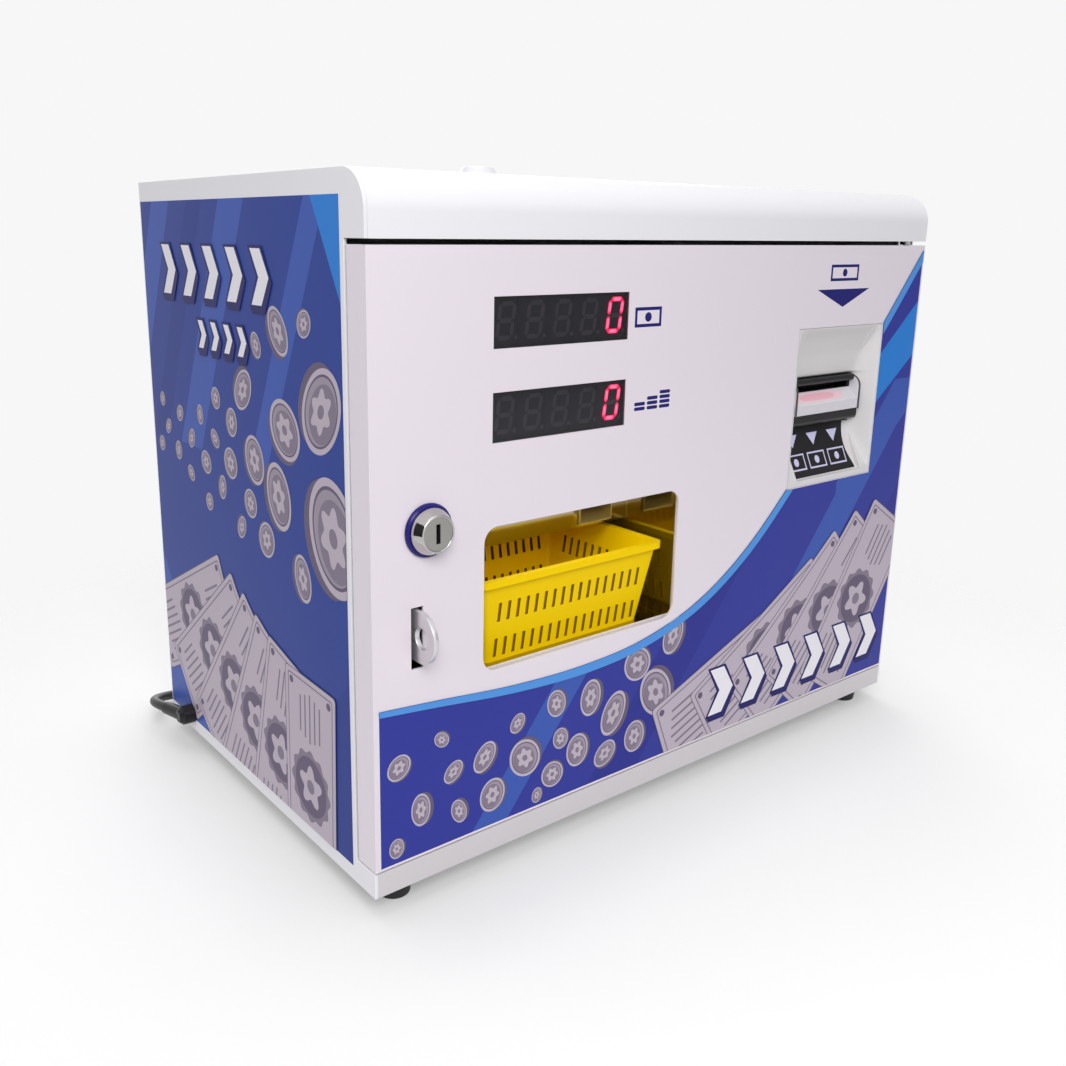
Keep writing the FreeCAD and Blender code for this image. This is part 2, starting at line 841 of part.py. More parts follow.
def door_panel():
    """Shallow pan with four flanges and the openings for all that the door carries."""
    body = new_body("door_panel")
    sketch = new_sketch(body, "front")
    rectangle(sketch, door_left, door_bottom, door_right, door_top)
    pad(body, sketch, dim.door_depth)
    wall = dim.door_thickness
    inside = new_sketch(body, "front", wall)
    rectangle(inside, door_left + wall, door_bottom + wall, door_right - wall, door_top - wall)
    pocket(body, inside, dim.door_depth)
    window = new_sketch(body, "front")
    rectangle(window, dim.window_left, dim.window_bottom, dim.window_left + dim.window_width,
              dim.window_bottom + dim.window_height, dim.window_corner)
    pocket(body, window, wall)
    openings = new_sketch(body, "front")
    for bottom in (dim.upper_display_bottom, dim.lower_display_bottom):
        rectangle(openings, dim.display_left, bottom, dim.display_left + dim.display_width,
                  bottom + dim.display_height)
    rectangle(openings, acceptor_left, dim.acceptor_bottom, acceptor_right, acceptor_top)
    rectangle(openings, dim.hasp_slot_left, dim.hasp_slot_bottom,
              dim.hasp_slot_left + dim.hasp_slot_width,
              dim.hasp_slot_bottom + dim.hasp_slot_height)
    circle(openings, dim.door_lock_x, dim.door_lock_z, dim.lock_barrel_radius)
    pocket(body, openings, wall)
    pivots = new_sketch(body, "plan", door_bottom)
    circle(pivots, pivot_x, dim.pivot_depth, dim.pivot_radius + dim.pivot_running_gap)
    pocket(body, pivots, door_top - door_bottom)
    return body


def pivot_blocks():
    """Bored blocks in the door's lower and upper right corners that turn on the pivot pins."""
    blocks = []
    height = dim.pivot_block_height
    starts = {"lower": door_bottom + dim.door_thickness,
              "upper": door_top - dim.door_thickness - height}
    for tag, z in starts.items():
        block = box("pivot_block_form_" + tag, (pivot_block_left, pivot_block_front, z),
                    (dim.pivot_block_size, dim.pivot_block_size, height))
        bore = rod("pivot_bore_" + tag, (pivot_x, dim.pivot_depth, z),
                   dim.pivot_radius + dim.pivot_running_gap, height)
        blocks.append(cut("pivot_block_" + tag, block, bore))
    return grouped("door_pivot_blocks", blocks)


def pivot_pins():
    """Headed pins through the base lip and the cap lip, on which the door turns."""
    pins = []
    x, y = pivot_x, dim.pivot_depth
    reach = dim.door_thickness + dim.pivot_engagement
    lower_start = dim.base_lip_height - dim.shell_thickness
    lower = rod("lower_pin_shank", (x, y, lower_start), dim.pivot_radius,
                dim.shell_thickness + dim.door_bottom_gap + reach)
    collar = rod("lower_pin_collar", (x, y, dim.base_lip_height), dim.pivot_collar_radius,
                 dim.door_bottom_gap)
    head = rod("lower_pin_head", (x, y, lower_start - dim.pivot_head_height),
               dim.pivot_head_radius, dim.pivot_head_height)
    pins.append(fused("lower_pivot_pin", [lower, collar, head]))
    upper = rod("upper_pin_shank", (x, y, door_top - reach), dim.pivot_radius,
                reach + dim.door_top_gap + dim.shell_thickness)
    washer = rod("upper_pin_collar", (x, y, door_top + dim.seat_clearance),
                 dim.pivot_collar_radius, dim.door_top_gap - dim.seat_clearance)
    cap = rod("upper_pin_head", (x, y, band_bottom + dim.shell_thickness),
              dim.pivot_head_radius, dim.pivot_head_height)
    pins.append(fused("upper_pivot_pin", [upper, washer, cap]))
    return grouped("door_pivot_pins", pins)


# ---------------------------------------------------------------- number displays

def display_lens(name, bottom):
    """Smoked pane that fills the door's cut-out and seats with a flange behind the sheet."""
    body = new_body(name)
    gap = dim.seat_clearance / 2
    pane = new_sketch(body, "front", dim.lens_recess)
    rectangle(pane, dim.display_left + gap, bottom + gap,
              dim.display_left + dim.display_width - gap, bottom + dim.display_height - gap)
    pad(body, pane, dim.door_thickness - dim.lens_recess + dim.lens_thickness)
    flange = new_sketch(body, "front", dim.door_thickness)
    rectangle(flange, dim.display_left - dim.lens_flange, bottom - dim.lens_flange,
              dim.display_left + dim.display_width + dim.lens_flange,
              bottom + dim.display_height + dim.lens_flange)
    pad(body, flange, dim.lens_thickness)
    return body


def display_housing(name, bottom):
    """Open frame between the lens and the display's circuit board."""
    body = new_body(name)
    front = dim.door_thickness + dim.lens_thickness
    outer = new_sketch(body, "front", front)
    rectangle(outer, dim.display_left - dim.lens_flange, bottom - dim.lens_flange,
              dim.display_left + dim.display_width + dim.lens_flange,
              bottom + dim.display_height + dim.lens_flange)
    pad(body, outer, dim.display_housing_depth)
    inner = new_sketch(body, "front", front)
    edge = dim.lens_flange - dim.display_housing_wall
    rectangle(inner, dim.display_left - edge, bottom - edge,
              dim.display_left + dim.display_width + edge,
              bottom + dim.display_height + edge)
    pocket(body, inner, dim.display_housing_depth)
    return body


def display_board(name, bottom):
    """Circuit board behind the housing."""
    front = dim.door_thickness + dim.lens_thickness + dim.display_housing_depth
    board = box(name, (dim.display_left - dim.lens_flange, front, bottom - dim.lens_flange),
                (dim.display_width + 2 * dim.lens_flange, dim.board_thickness,
                 dim.display_height + 2 * dim.lens_flange))
    board.Label = name
    return board


def display_digits(name, bottom):
    """Five seven-segment blocks in a row, soldered to the board."""
    back = dim.door_thickness + dim.lens_thickness + dim.display_housing_depth
    cell = dim.display_width / dim.digit_count
    digits = []
    for index in range(int(dim.digit_count.number)):
        x = dim.display_left + cell * index + (cell - dim.digit_width) / 2
        z = bottom + (dim.display_height - dim.digit_height) / 2
        digits.append(box(f"{name}_{index}", (x, back - dim.digit_depth, z),
                          (dim.digit_width, dim.digit_depth, dim.digit_height)))
    return grouped(name, digits)


# ---------------------------------------------------------------- bill acceptor

def acceptor_bezel():
    """Moulded surround whose face falls away to the bill mouth between sloping cheeks."""
    gap = dim.seat_clearance
    body = new_body("acceptor_bezel")
    outer = new_sketch(body, "front")
    rectangle(outer, acceptor_left + gap, dim.acceptor_bottom + gap,
              acceptor_right - gap, acceptor_top - gap)
    pad(body, outer, dim.bezel_depth)
    flange = new_sketch(body, "front", dim.door_thickness)
    rectangle(flange, acceptor_left - dim.bezel_flange,
              dim.acceptor_bottom - dim.bezel_flange,
              acceptor_right + dim.bezel_flange, acceptor_top + dim.bezel_flange)
    pad(body, flange, dim.bezel_flange_thickness)

    front = new_sketch(body, "front")
    edge = gap + 1
    rectangle(front, acceptor_left + edge, dim.acceptor_bottom + dim.bezel_sill,
              acceptor_right - edge, acceptor_top - edge)
    half = dim.bezel_inner_width / 2
    back = new_sketch(body, "front", dim.bezel_mouth_depth)
    rectangle(back, acceptor_middle - half, dim.mouth_bottom, acceptor_middle + half,
              dim.mouth_top)
    loft(body, "SubtractiveLoft", front, back)

    hollow = new_sketch(body, "side", acceptor_middle - half)
    sloped_outline(hollow, upper_face_profile())
    pocket(body, hollow, dim.bezel_inner_width)
    card_seat = new_sketch(body, "side", acceptor_middle - half)
    sloped_outline(card_seat, lower_face_profile())
    pocket(body, card_seat, dim.bezel_inner_width)
    mouth = new_sketch(body, "front", dim.bezel_mouth_depth)
    rectangle(mouth, acceptor_middle - half, dim.mouth_bottom, acceptor_middle + half,
              dim.mouth_top)
    pocket(body, mouth, dim.bezel_depth - dim.bezel_mouth_depth)
    return body


def upper_face_profile():
    """Side view of the hollow above the mouth: it deepens in three facets."""
    depth = dim.bezel_mouth_depth
    rise = acceptor_top - dim.mouth_top
    return [
        (0, dim.mouth_top),
        (depth, dim.mouth_top),
        (depth * 0.77, dim.mouth_top + rise * 0.05),
        (depth * 0.56, dim.mouth_top + rise * 0.44),
        (depth * 0.25, dim.mouth_top + rise * 0.8),
        (0, acceptor_top - dim.seat_clearance - 1),
    ]


def card_line():
    """Side view of the concave slope that the card lies on, from its top down."""
    depth = dim.bezel_mouth_depth
    drop = dim.mouth_bottom - dim.acceptor_bottom - dim.bezel_sill
    return [
        (depth, dim.mouth_bottom),
        (depth * 0.83, dim.mouth_bottom - drop * 0.3),
        (depth * 0.6, dim.mouth_bottom - drop * 0.6),
        (depth * 0.22, dim.mouth_bottom - drop),
    ]


def lower_face_profile():
    line = card_line()
    return [(0, dim.mouth_bottom)] + [(0, line[-1][1])] + line[::-1]


def accept_card():
    """Thin blank card on the slope below the mouth."""
    gap = dim.seat_clearance
    body = new_body("accept_card")
    half = dim.bezel_inner_width / 2 - gap
    sketch = new_sketch(body, "side", acceptor_middle - half)
    back = card_line()
    thickness = dim.card_thickness
    front = [(y - thickness, z) for y, z in back]
    sloped_outline(sketch, back[::-1] + front)
    pad(body, sketch, half * 2)
    return body


def acceptor_mouth():
    """Black throat block with a bill slot between a rounded lower lip and a hood."""
    gap = dim.seat_clearance
    half = dim.bezel_inner_width / 2 - gap
    body = new_body("acceptor_mouth")
    sketch = new_sketch(body, "side", acceptor_middle - half)
    square_outline(sketch, [
        (dim.mouth_lip_front, dim.mouth_bottom + 3, 3),
        (dim.bezel_mouth_depth, dim.mouth_bottom + 3),
        (dim.bezel_mouth_depth, dim.mouth_bottom + gap),
        (dim.bezel_depth + 4, dim.mouth_bottom + gap),
        (dim.bezel_depth + 4, dim.mouth_top - gap),
        (dim.bezel_mouth_depth - 2, dim.mouth_top - gap),
        (dim.bezel_mouth_depth - 2, dim.tray_bottom),
        (dim.mouth_lip_front, dim.tray_bottom),
    ])
    pad(body, sketch, half * 2)
    slot = new_sketch(body, "front", dim.bezel_mouth_depth - 2)
    slot_half = half - 4
    slot_bottom = dim.tray_bottom + dim.tray_lip_height + dim.tray_rise
    rectangle(slot, acceptor_middle - slot_half, slot_bottom, acceptor_middle + slot_half,
              slot_bottom + dim.bill_slot_height)
    pocket(body, slot, dim.bezel_depth)
    hood_half = half - dim.tray_cheek_thickness - gap
    hood = new_sketch(body, "side", acceptor_middle - hood_half)
    square_outline(hood, [
        (dim.hood_front, dim.hood_bottom, 2),
        (dim.bezel_mouth_depth - 2, dim.hood_bottom),
        (dim.bezel_mouth_depth - 2, dim.mouth_top - gap),
        (dim.hood_front, dim.mouth_top - gap, 1),
    ])
    pad(body, hood, hood_half * 2)
    return body


def bill_tray():
    """Clear tray under the bill slot, with D-shaped cheeks at both ends."""
    gap = dim.seat_clearance
    half = dim.bezel_inner_width / 2 - gap
    back = dim.bezel_mouth_depth - 2 - gap
    bottom = dim.tray_bottom
    body = new_body("bill_tray")
    floor = new_sketch(body, "side", acceptor_middle - half)
    sloped_outline(floor, [
        (dim.tray_front, bottom),
        (back, bottom),
        (back, bottom + dim.tray_lip_height + dim.tray_rise),
        (dim.tray_front, bottom + dim.tray_lip_height),
    ])
    pad(body, floor, half * 2)
    for left in (acceptor_middle - half, acceptor_middle + half - dim.tray_cheek_thickness):
        cheek = new_sketch(body, "side", left)
        square_outline(cheek, [
            (dim.tray_front, bottom),
            (back, bottom),
            (back, dim.mouth_top - gap - 1),
            (dim.tray_front, dim.mouth_top - gap - 1, dim.bezel_mouth_depth * 0.47),
        ])
        pad(body, cheek, dim.tray_cheek_thickness)
    return body


def acceptor_bracket():
    """U-shaped channel behind the bezel that carries the acceptor head and the cassette."""
    body = new_body("acceptor_bracket")
    sketch = new_sketch(body, "front", bracket_front)
    wall = dim.bracket_wall
    square_outline(sketch, [
        (bracket_left, dim.bracket_bottom),
        (bracket_right, dim.bracket_bottom),
        (bracket_right, bracket_top),
        (bracket_right - wall, bracket_top),
        (bracket_right - wall, dim.bracket_bottom + wall),
        (bracket_left + wall, dim.bracket_bottom + wall),
        (bracket_left + wall, bracket_top),
        (bracket_left, bracket_top),
    ])
    pad(body, sketch, dim.bracket_reach - bracket_front)
    window = new_sketch(body, "side", bracket_left)
    middle = dim.bracket_bottom + (dim.head_bottom - dim.bracket_bottom) / 2
    circle(window, dim.bracket_reach / 2, middle, dim.bracket_reach / 5)
    pocket(body, window, bracket_width)
    return body


def acceptor_head():
    """Note-reading head: a deep moulded box with a stepped, rounded back."""
    gap = dim.bracket_gap
    left = bracket_left + dim.bracket_wall + gap / 4
    width = bracket_width - 2 * dim.bracket_wall - gap / 2
    front = dim.bezel_depth + 4
    body = new_body("acceptor_head")
    sketch = new_sketch(body, "side", left)
    square_outline(sketch, [
        (front, dim.head_bottom),
        (dim.head_reach, dim.head_bottom),
        (dim.head_reach, dim.head_top - 26, 8),
        (dim.head_reach - 16, dim.head_top - 26),
        (dim.head_reach - 16, dim.head_top, 10),
        (front, dim.head_top),
    ])
    pad(body, sketch, width)
    return body


def cash_cassette():
    """Lidded note box below the head, drawn out to the back by its grip."""
    gap = dim.seat_clearance
    bottom = dim.bracket_bottom + dim.bracket_wall
    top = dim.head_bottom - gap
    left = bracket_left + dim.bracket_wall + gap
    width = bracket_width - 2 * dim.bracket_wall - 2 * gap
    front, back = dim.cassette_front, dim.cassette_front + dim.cassette_length
    body = new_body("cash_cassette")
    sketch = new_sketch(body, "side", left)
    square_outline(sketch, [(front, bottom), (back, bottom, 6), (back, top, 6), (front, top)])
    pad(body, sketch, width)
    middle = bottom + (top - bottom) / 2
    grip = new_sketch(body, "side", left + width / 2 - 20)
    square_outline(grip, [
        (back - 1, middle - 12),
        (back + dim.cassette_handle_reach, middle - 12, 3),
        (back + dim.cassette_handle_reach, middle + 12, 3),
        (back - 1, middle + 12),
        (back - 1, middle + 8),
        (back + dim.cassette_handle_reach - 4, middle + 8),
        (back + dim.cassette_handle_reach - 4, middle - 8),
        (back - 1, middle - 8),
    ])
    pad(body, grip, 40)
    return body


# ---------------------------------------------------------------- cam locks

class LockSeat:
    """Where a cam lock sits: the point on its axis at the panel's face, and how it is turned.

    In the lock's own frame +y runs inwards along its axis.
    """

    def __init__(self, prefix, x, y, z, turn, cam_turn, head_height):
        self.prefix = prefix
        self.face = -dim.lock_ring_thickness - head_height
        self.spot = (x, y, z)
        self.turn = turn
        self.cam_turn = turn.multiply(cam_turn)

    def body(self, piece, turn=None):
        return new_body(f"{self.prefix}_{piece}", *self.spot, turn or self.turn)


def turned_piece(body, profile):
    """Revolve a profile of (radius, distance inwards) about the lock's axis."""
    sketch = new_sketch(body, "plan")
    sloped_outline(sketch, profile)
    revolve(body, sketch)
    return body


def lock_ring(seat):
    """Moulded escutcheon with a bevelled edge."""
    inner = dim.lock_barrel_radius + 0.1
    outer, thick = dim.lock_ring_radius, dim.lock_ring_thickness
    return turned_piece(seat.body("ring"), [
        (inner, 0), (inner, -thick), (outer - 1, -thick), (outer, -thick + 1), (outer, 0)])


def lock_body(seat):
    """Barrel with a tapered head that stands on the ring and a seat for the plug's face."""
    bore = dim.lock_plug_radius + dim.lock_running_gap
    face_bore = dim.plug_face_radius + dim.lock_running_gap
    seat_y = -dim.lock_ring_thickness
    face = seat.face
    shoulder = face + dim.plug_face_recess + dim.plug_face_thickness + dim.lock_running_gap
    slope = dim.lock_head_radius - dim.lock_face_radius
    return turned_piece(seat.body("body"), [
        (bore, shoulder),
        (face_bore, shoulder),
        (face_bore, face),
        (dim.lock_face_radius, face),
        (dim.lock_face_radius + slope * 0.5, face + (seat_y - face) * 0.4),
        (dim.lock_head_radius, seat_y - 1.5),
        (dim.lock_head_radius, seat_y),
        (dim.lock_barrel_radius, seat_y),
        (dim.lock_barrel_radius, dim.lock_barrel_length),
        (bore, dim.lock_barrel_length),
    ])


def lock_plug(seat):
    """Turning plug with a wide face and a key slot; it ends flush with the barrel's back."""
    body = seat.body("plug", seat.cam_turn)
    face = seat.face + dim.plug_face_recess
    shoulder = face + dim.plug_face_thickness
    turned_piece(body, [
        (0, face), (dim.plug_face_radius, face), (dim.plug_face_radius, shoulder),
        (dim.lock_plug_radius, shoulder),
        (dim.lock_plug_radius, dim.lock_barrel_length), (0, dim.lock_barrel_length)])
    slot = new_sketch(body, "front", face)
    centred_rectangle(slot, dim.key_slot_width, dim.key_slot_height)
    pocket(body, slot, dim.key_slot_depth)
    return body


def lock_cam(seat):
    """Flat finger on the plug's inner end with the screw that holds it."""
    body = seat.body("cam", seat.cam_turn)
    half = dim.cam_width / 2
    finger = new_sketch(body, "front", dim.lock_barrel_length)
    square_outline(finger, [
        (-half, -dim.cam_length, 3), (half, -dim.cam_length, 3),
        (half, half, 4), (-half, half, 4)])
    pad(body, finger, dim.cam_thickness)
    screw = new_sketch(body, "front", dim.lock_barrel_length + dim.cam_thickness)
    circle(screw, 0, 0, dim.cam_screw_radius)
    pad(body, screw, 2.2)
    return body


def lock_nut(seat, panel_thickness):
    """Hexagon nut that clamps the barrel to the panel."""
    body = seat.body("nut")
    sketch = new_sketch(body, "front", panel_thickness)
    radius = dim.lock_nut_radius
    flat = radius * math.sqrt(0.75)
    sloped_outline(sketch, [
        (radius, 0), (radius / 2, flat), (-radius / 2, flat),
        (-radius, 0), (-radius / 2, -flat), (radius / 2, -flat)])
    pad(body, sketch, dim.lock_nut_thickness)
    bore = new_sketch(body, "front", panel_thickness)
    circle(bore, 0, 0, dim.lock_barrel_radius + dim.lock_running_gap)
    pocket(body, bore, dim.lock_nut_thickness)
    return body


def cam_lock(seat, panel_thickness):
    return [lock_ring(seat), lock_body(seat), lock_plug(seat), lock_cam(seat),
            lock_nut(seat, panel_thickness)]


def door_lock():
    seat = LockSeat("door_lock", dim.door_lock_x, 0, dim.door_lock_z, UPRIGHT, UPRIGHT,
                    dim.lock_head_height)
    return cam_lock(seat, dim.door_thickness)


def hatch_lock():
    quarter = FreeCAD.Rotation(FreeCAD.Vector(0, 1, 0), 90)
    seat = LockSeat("hatch_lock", hatch_lock_x, hatch_lock_y, hatch_lid_top, FACING_UP, quarter,
                    dim.hatch_lock_head_height)
    return cam_lock(seat, dim.hatch_thickness)


def lock_strike():
    """Angle on the left wall that the door's cam catches behind."""
    wall = dim.strike_thickness
    body = new_body("lock_strike", inner_left, dim.lock_barrel_length - dim.strike_gap - wall,
                    dim.door_lock_z - dim.strike_height / 2)
    sketch = new_sketch(body, "plan")
    square_outline(sketch, [
        (0, 0), (dim.strike_reach, 0), (dim.strike_reach, wall), (wall, wall),
        (wall, dim.strike_foot), (0, dim.strike_foot)])
    pad(body, sketch, dim.strike_height)
    return body


def hatch_strike():
    """Stepped bracket under the top that the hatch's cam catches below."""
    wall = dim.strike_thickness
    ledge = hatch_lid_top - dim.lock_barrel_length + dim.strike_gap
    top = dim.cabinet_height - dim.shell_thickness
    body = new_body("hatch_strike", hatch_lock_x - dim.strike_height / 2,
                    dim.hatch_front - dim.strike_reach)
    sketch = new_sketch(body, "side")
    square_outline(sketch, [
        (0, ledge), (dim.strike_reach - 0.5, ledge), (dim.strike_reach - 0.5, ledge + wall),
        (wall, ledge + wall), (wall, top), (-dim.strike_foot, top),
        (-dim.strike_foot, top - wall), (0, top - wall)])
    pad(body, sketch, dim.strike_height)
    return body


def hasp_bracket():
    """Bent steel angle on the left wall whose rounded ear passes the door for a padlock."""
    thick = dim.hasp_thickness
    tip = -dim.hasp_reach
    body = new_body("hasp_bracket")
    plan = new_sketch(body, "plan", dim.hasp_bottom)
    square_outline(plan, [
        (inner_left, dim.hasp_web_depth),
        (dim.hasp_tab_left + thick, dim.hasp_web_depth),
        (dim.hasp_tab_left + thick, dim.hasp_web_depth + thick),
        (inner_left + thick, dim.hasp_web_depth + thick),
        (inner_left + thick, dim.hasp_web_depth + dim.hasp_foot),
        (inner_left, dim.hasp_web_depth + dim.hasp_foot),
    ])
    pad(body, plan, dim.hasp_height)
    ear = new_sketch(body, "side", dim.hasp_tab_left)
    round_end = dim.hasp_height / 2 - 0.1
    square_outline(ear, [
        (tip, dim.hasp_bottom, round_end),
        (dim.hasp_web_depth, dim.hasp_bottom),
        (dim.hasp_web_depth, dim.hasp_bottom + dim.hasp_height),
        (tip, dim.hasp_bottom + dim.hasp_height, round_end),
    ])
    pad(body, ear, thick)
    hole = new_sketch(body, "side", dim.hasp_tab_left)
    circle(hole, -dim.hasp_hole_front, dim.hasp_bottom + dim.hasp_height / 2,
           dim.hasp_hole_radius)
    pocket(body, hole, thick)
    return body


# ---------------------------------------------------------------- coin bay, basket and chute

def coin_bay():
    """Polished box behind the window: a high front part, and a low part for the basket's rear."""
    wall = dim.bay_wall
    body = new_body("coin_bay")
    outer = new_sketch(body, "side", dim.bay_left - wall)
    square_outline(outer, bay_profile(wall))
    pad(body, outer, dim.bay_width + 2 * wall)
    inner = new_sketch(body, "side", dim.bay_left)
    square_outline(inner, bay_profile(0))
    pocket(body, inner, dim.bay_width)
    hole = new_sketch(body, "front", dim.bay_curtain_front)
    gap = dim.seat_clearance
    edge = gap + dim.chute_wall
    back = dim.bay_curtain_front + wall
    rectangle(hole, dim.chute_left - edge, chute_floor_at(dim.bay_curtain_front) - gap,
              chute_right + edge, chute_roof_at(back) + gap)
    pocket(body, hole, wall)
    return body


def bay_profile(wall):
    """Side view of the bay, seen from its inner faces outwards by the wall's thickness."""
    curtain = dim.bay_curtain_front + wall
    return [
        (bay_liner_front, dim.bay_floor - wall),
        (dim.bay_back + wall, dim.bay_floor - wall),
        (dim.bay_back + wall, dim.bay_low_ceiling + wall),
        (curtain, dim.bay_low_ceiling + wall),
        (curtain, dim.bay_ceiling + wall),
        (bay_liner_front, dim.bay_ceiling + wall),
    ]


def bay_frame():
    """Painted frame round the bay's mouth; its lower bar keeps the basket in."""
    body = new_body("bay_frame")
    outer = new_sketch(body, "front", dim.bay_frame_front)
    edge = dim.bay_frame_width
    rectangle(outer, dim.bay_left - edge, dim.bay_floor - edge, bay_right + edge,
              dim.bay_ceiling + edge, 4)
    pad(body, outer, dim.bay_frame_thickness)
    inner = new_sketch(body, "front", dim.bay_frame_front)
    rectangle(inner, dim.bay_left, dim.window_bottom, bay_right, dim.bay_ceiling, 3)
    pocket(body, inner, dim.bay_frame_thickness)
    return body


def bay_stand():
    """Bent bracket that carries the bay on the base."""
    wall = dim.shell_thickness
    left = dim.bay_left + dim.bay_stand_inset
    right = bay_right - dim.bay_stand_inset
    top = dim.bay_floor - dim.bay_wall
    foot = dim.bay_stand_foot
    body = new_body("bay_stand")
    sketch = new_sketch(body, "front", dim.lip_return + 4)
    footed_arch(sketch, left, right, top, wall, foot)
    pad(body, sketch, dim.bay_back - dim.lip_return - 4)
    return body


def coin_basket():
    """Tapered moulded basket with a rolled rim and two rows of slots all round."""
    middle_x = dim.basket_left + dim.basket_width / 2
    middle_y = dim.basket_front + dim.basket_depth / 2
    body = new_body("coin_basket", middle_x, middle_y, dim.bay_floor)
    top_width = dim.basket_width - 2 * dim.basket_rim_overhang
    top_depth = dim.basket_depth - 2 * dim.basket_rim_overhang
    foot_width = top_width - 2 * dim.basket_taper
    foot_depth = top_depth - 2 * dim.basket_taper
    wall = dim.basket_wall
    corner = dim.basket_corner

    foot = new_sketch(body, "plan")
    centred_rectangle(foot, foot_width, foot_depth, corner)
    mouth = new_sketch(body, "plan", dim.basket_height)
    centred_rectangle(mouth, top_width, top_depth, corner)
    loft(body, "AdditiveLoft", foot, mouth)
    rim = new_sketch(body, "plan", dim.basket_height - dim.basket_rim_height)
    centred_rectangle(rim, dim.basket_width, dim.basket_depth,
                      corner + dim.basket_rim_overhang)
    pad(body, rim, dim.basket_rim_height)

    inner_foot = new_sketch(body, "plan", dim.basket_floor_thickness)
    centred_rectangle(inner_foot, foot_width - 2 * wall, foot_depth - 2 * wall, corner - wall)
    inner_mouth = new_sketch(body, "plan", dim.basket_height)
    centred_rectangle(inner_mouth, top_width - 2 * wall, top_depth - 2 * wall, corner - wall)
    loft(body, "SubtractiveLoft", inner_foot, inner_mouth)

    bottoms = (dim.lower_slot_bottom, dim.upper_slot_bottom)
    first_x = -dim.slot_pitch * (dim.slot_columns - 1) / 2
    long_slots = new_sketch(body, "front", -dim.basket_depth / 2)
    for bottom in bottoms:
        rectangle(long_slots, first_x - dim.slot_width / 2, bottom,
                  first_x + dim.slot_width / 2, bottom + dim.slot_height)
    row_of(body, pocket(body, long_slots, dim.basket_depth), dim.slot_pitch, dim.slot_columns)

    first_y = -dim.slot_pitch * (dim.side_slot_columns - 1) / 2
    side_slots = new_sketch(body, "side", -dim.basket_width / 2)
    for bottom in bottoms:
        rectangle(side_slots, first_y - dim.slot_width / 2, bottom,
                  first_y + dim.slot_width / 2, bottom + dim.slot_height)
    row_of(body, pocket(body, side_slots, dim.basket_width), dim.slot_pitch,
           dim.side_slot_columns)
    return body


def chute_floor_at(y):
    """Height of the chute's sloping underside at a distance back from the door's face."""
    return along_chute(y, dim.chute_mouth_bottom, dim.chute_inlet_bottom)


def chute_roof_at(y):
    return along_chute(y, dim.chute_mouth_bottom + dim.chute_mouth_height, dim.chute_top)


def along_chute(y, at_mouth, at_inlet):
    run = hopper_front - dim.chute_mouth_front
    return at_mouth + (at_inlet - at_mouth) * ((y - dim.chute_mouth_front).number / run.number)


def coin_chute():
    """Duct that slopes from the hopper's exit out through the bay's inner wall."""
    wall = dim.chute_wall
    body = new_body("coin_chute")
    mouth = dim.chute_mouth_front
    inlet = hopper_front - dim.seat_clearance
    for left, width, inset, cutter in (
            (dim.chute_left - wall, dim.chute_inner_width + 2 * wall, 0, pad),
            (dim.chute_left, dim.chute_inner_width, wall, pocket)):
        sketch = new_sketch(body, "side", left)
        sloped_outline(sketch, [
            (mouth, chute_floor_at(mouth) + inset),
            (inlet, chute_floor_at(inlet) + inset),
            (inlet, chute_roof_at(inlet) - inset),
            (mouth, chute_roof_at(mouth) - inset),
        ])
        cutter(body, sketch, width)
    return body


# ---------------------------------------------------------------- coin hopper

def hopper_table():
    """Bent stand behind the bay whose shelf reaches over it to carry the hopper."""
    wall = dim.hopper_table_wall
    left = hopper_left + 4
    right = hopper_left + dim.hopper_size - 4
    foot = dim.hopper_table_foot
    top = hopper_base_bottom
    body = new_body("hopper_table")
    legs_front = dim.bay_back + dim.bay_wall + 3
    back = hopper_front + dim.hopper_size - 4
    sketch = new_sketch(body, "front", legs_front)
    footed_arch(sketch, left, right, top, wall, foot)
    pad(body, sketch, back - legs_front)
    shelf = new_sketch(body, "front", hopper_front + 4)
    rectangle(shelf, left, top - wall, right, top)
    pad(body, shelf, legs_front - hopper_front - 4)
    hole = new_sketch(body, "plan", top - wall)
    circle(hole, dim.hopper_x, dim.hopper_y, dim.shaft_radius * 2)
    pocket(body, hole, wall)
    return body


def hopper_base():
    """Moulded plate with the disc's round well and the coin exit towards the chute."""
    body = new_body("hopper_base", hopper_left, hopper_front, hopper_base_bottom)
    half = dim.hopper_size / 2
    block = new_sketch(body, "plan")
    rectangle(block, 0, 0, dim.hopper_size, dim.hopper_size, 6)
    pad(body, block, dim.hopper_base_height)
    floor = dim.hopper_base_height - dim.hopper_well_depth
    well = new_sketch(body, "plan", floor)
    circle(well, half, half, dim.hopper_well_radius)
    pocket(body, well, dim.hopper_well_depth)
    exit_left = coin_exit_left - hopper_left
    groove = new_sketch(body, "plan", floor)
    rectangle(groove, exit_left, -1, exit_left + dim.coin_exit_width, half)
    pocket(body, groove, dim.hopper_well_depth - 1.5)
    bore = new_sketch(body, "plan")
    circle(bore, half, half, dim.shaft_radius + dim.shaft_running_gap)
    pocket(body, bore, floor)
    return body


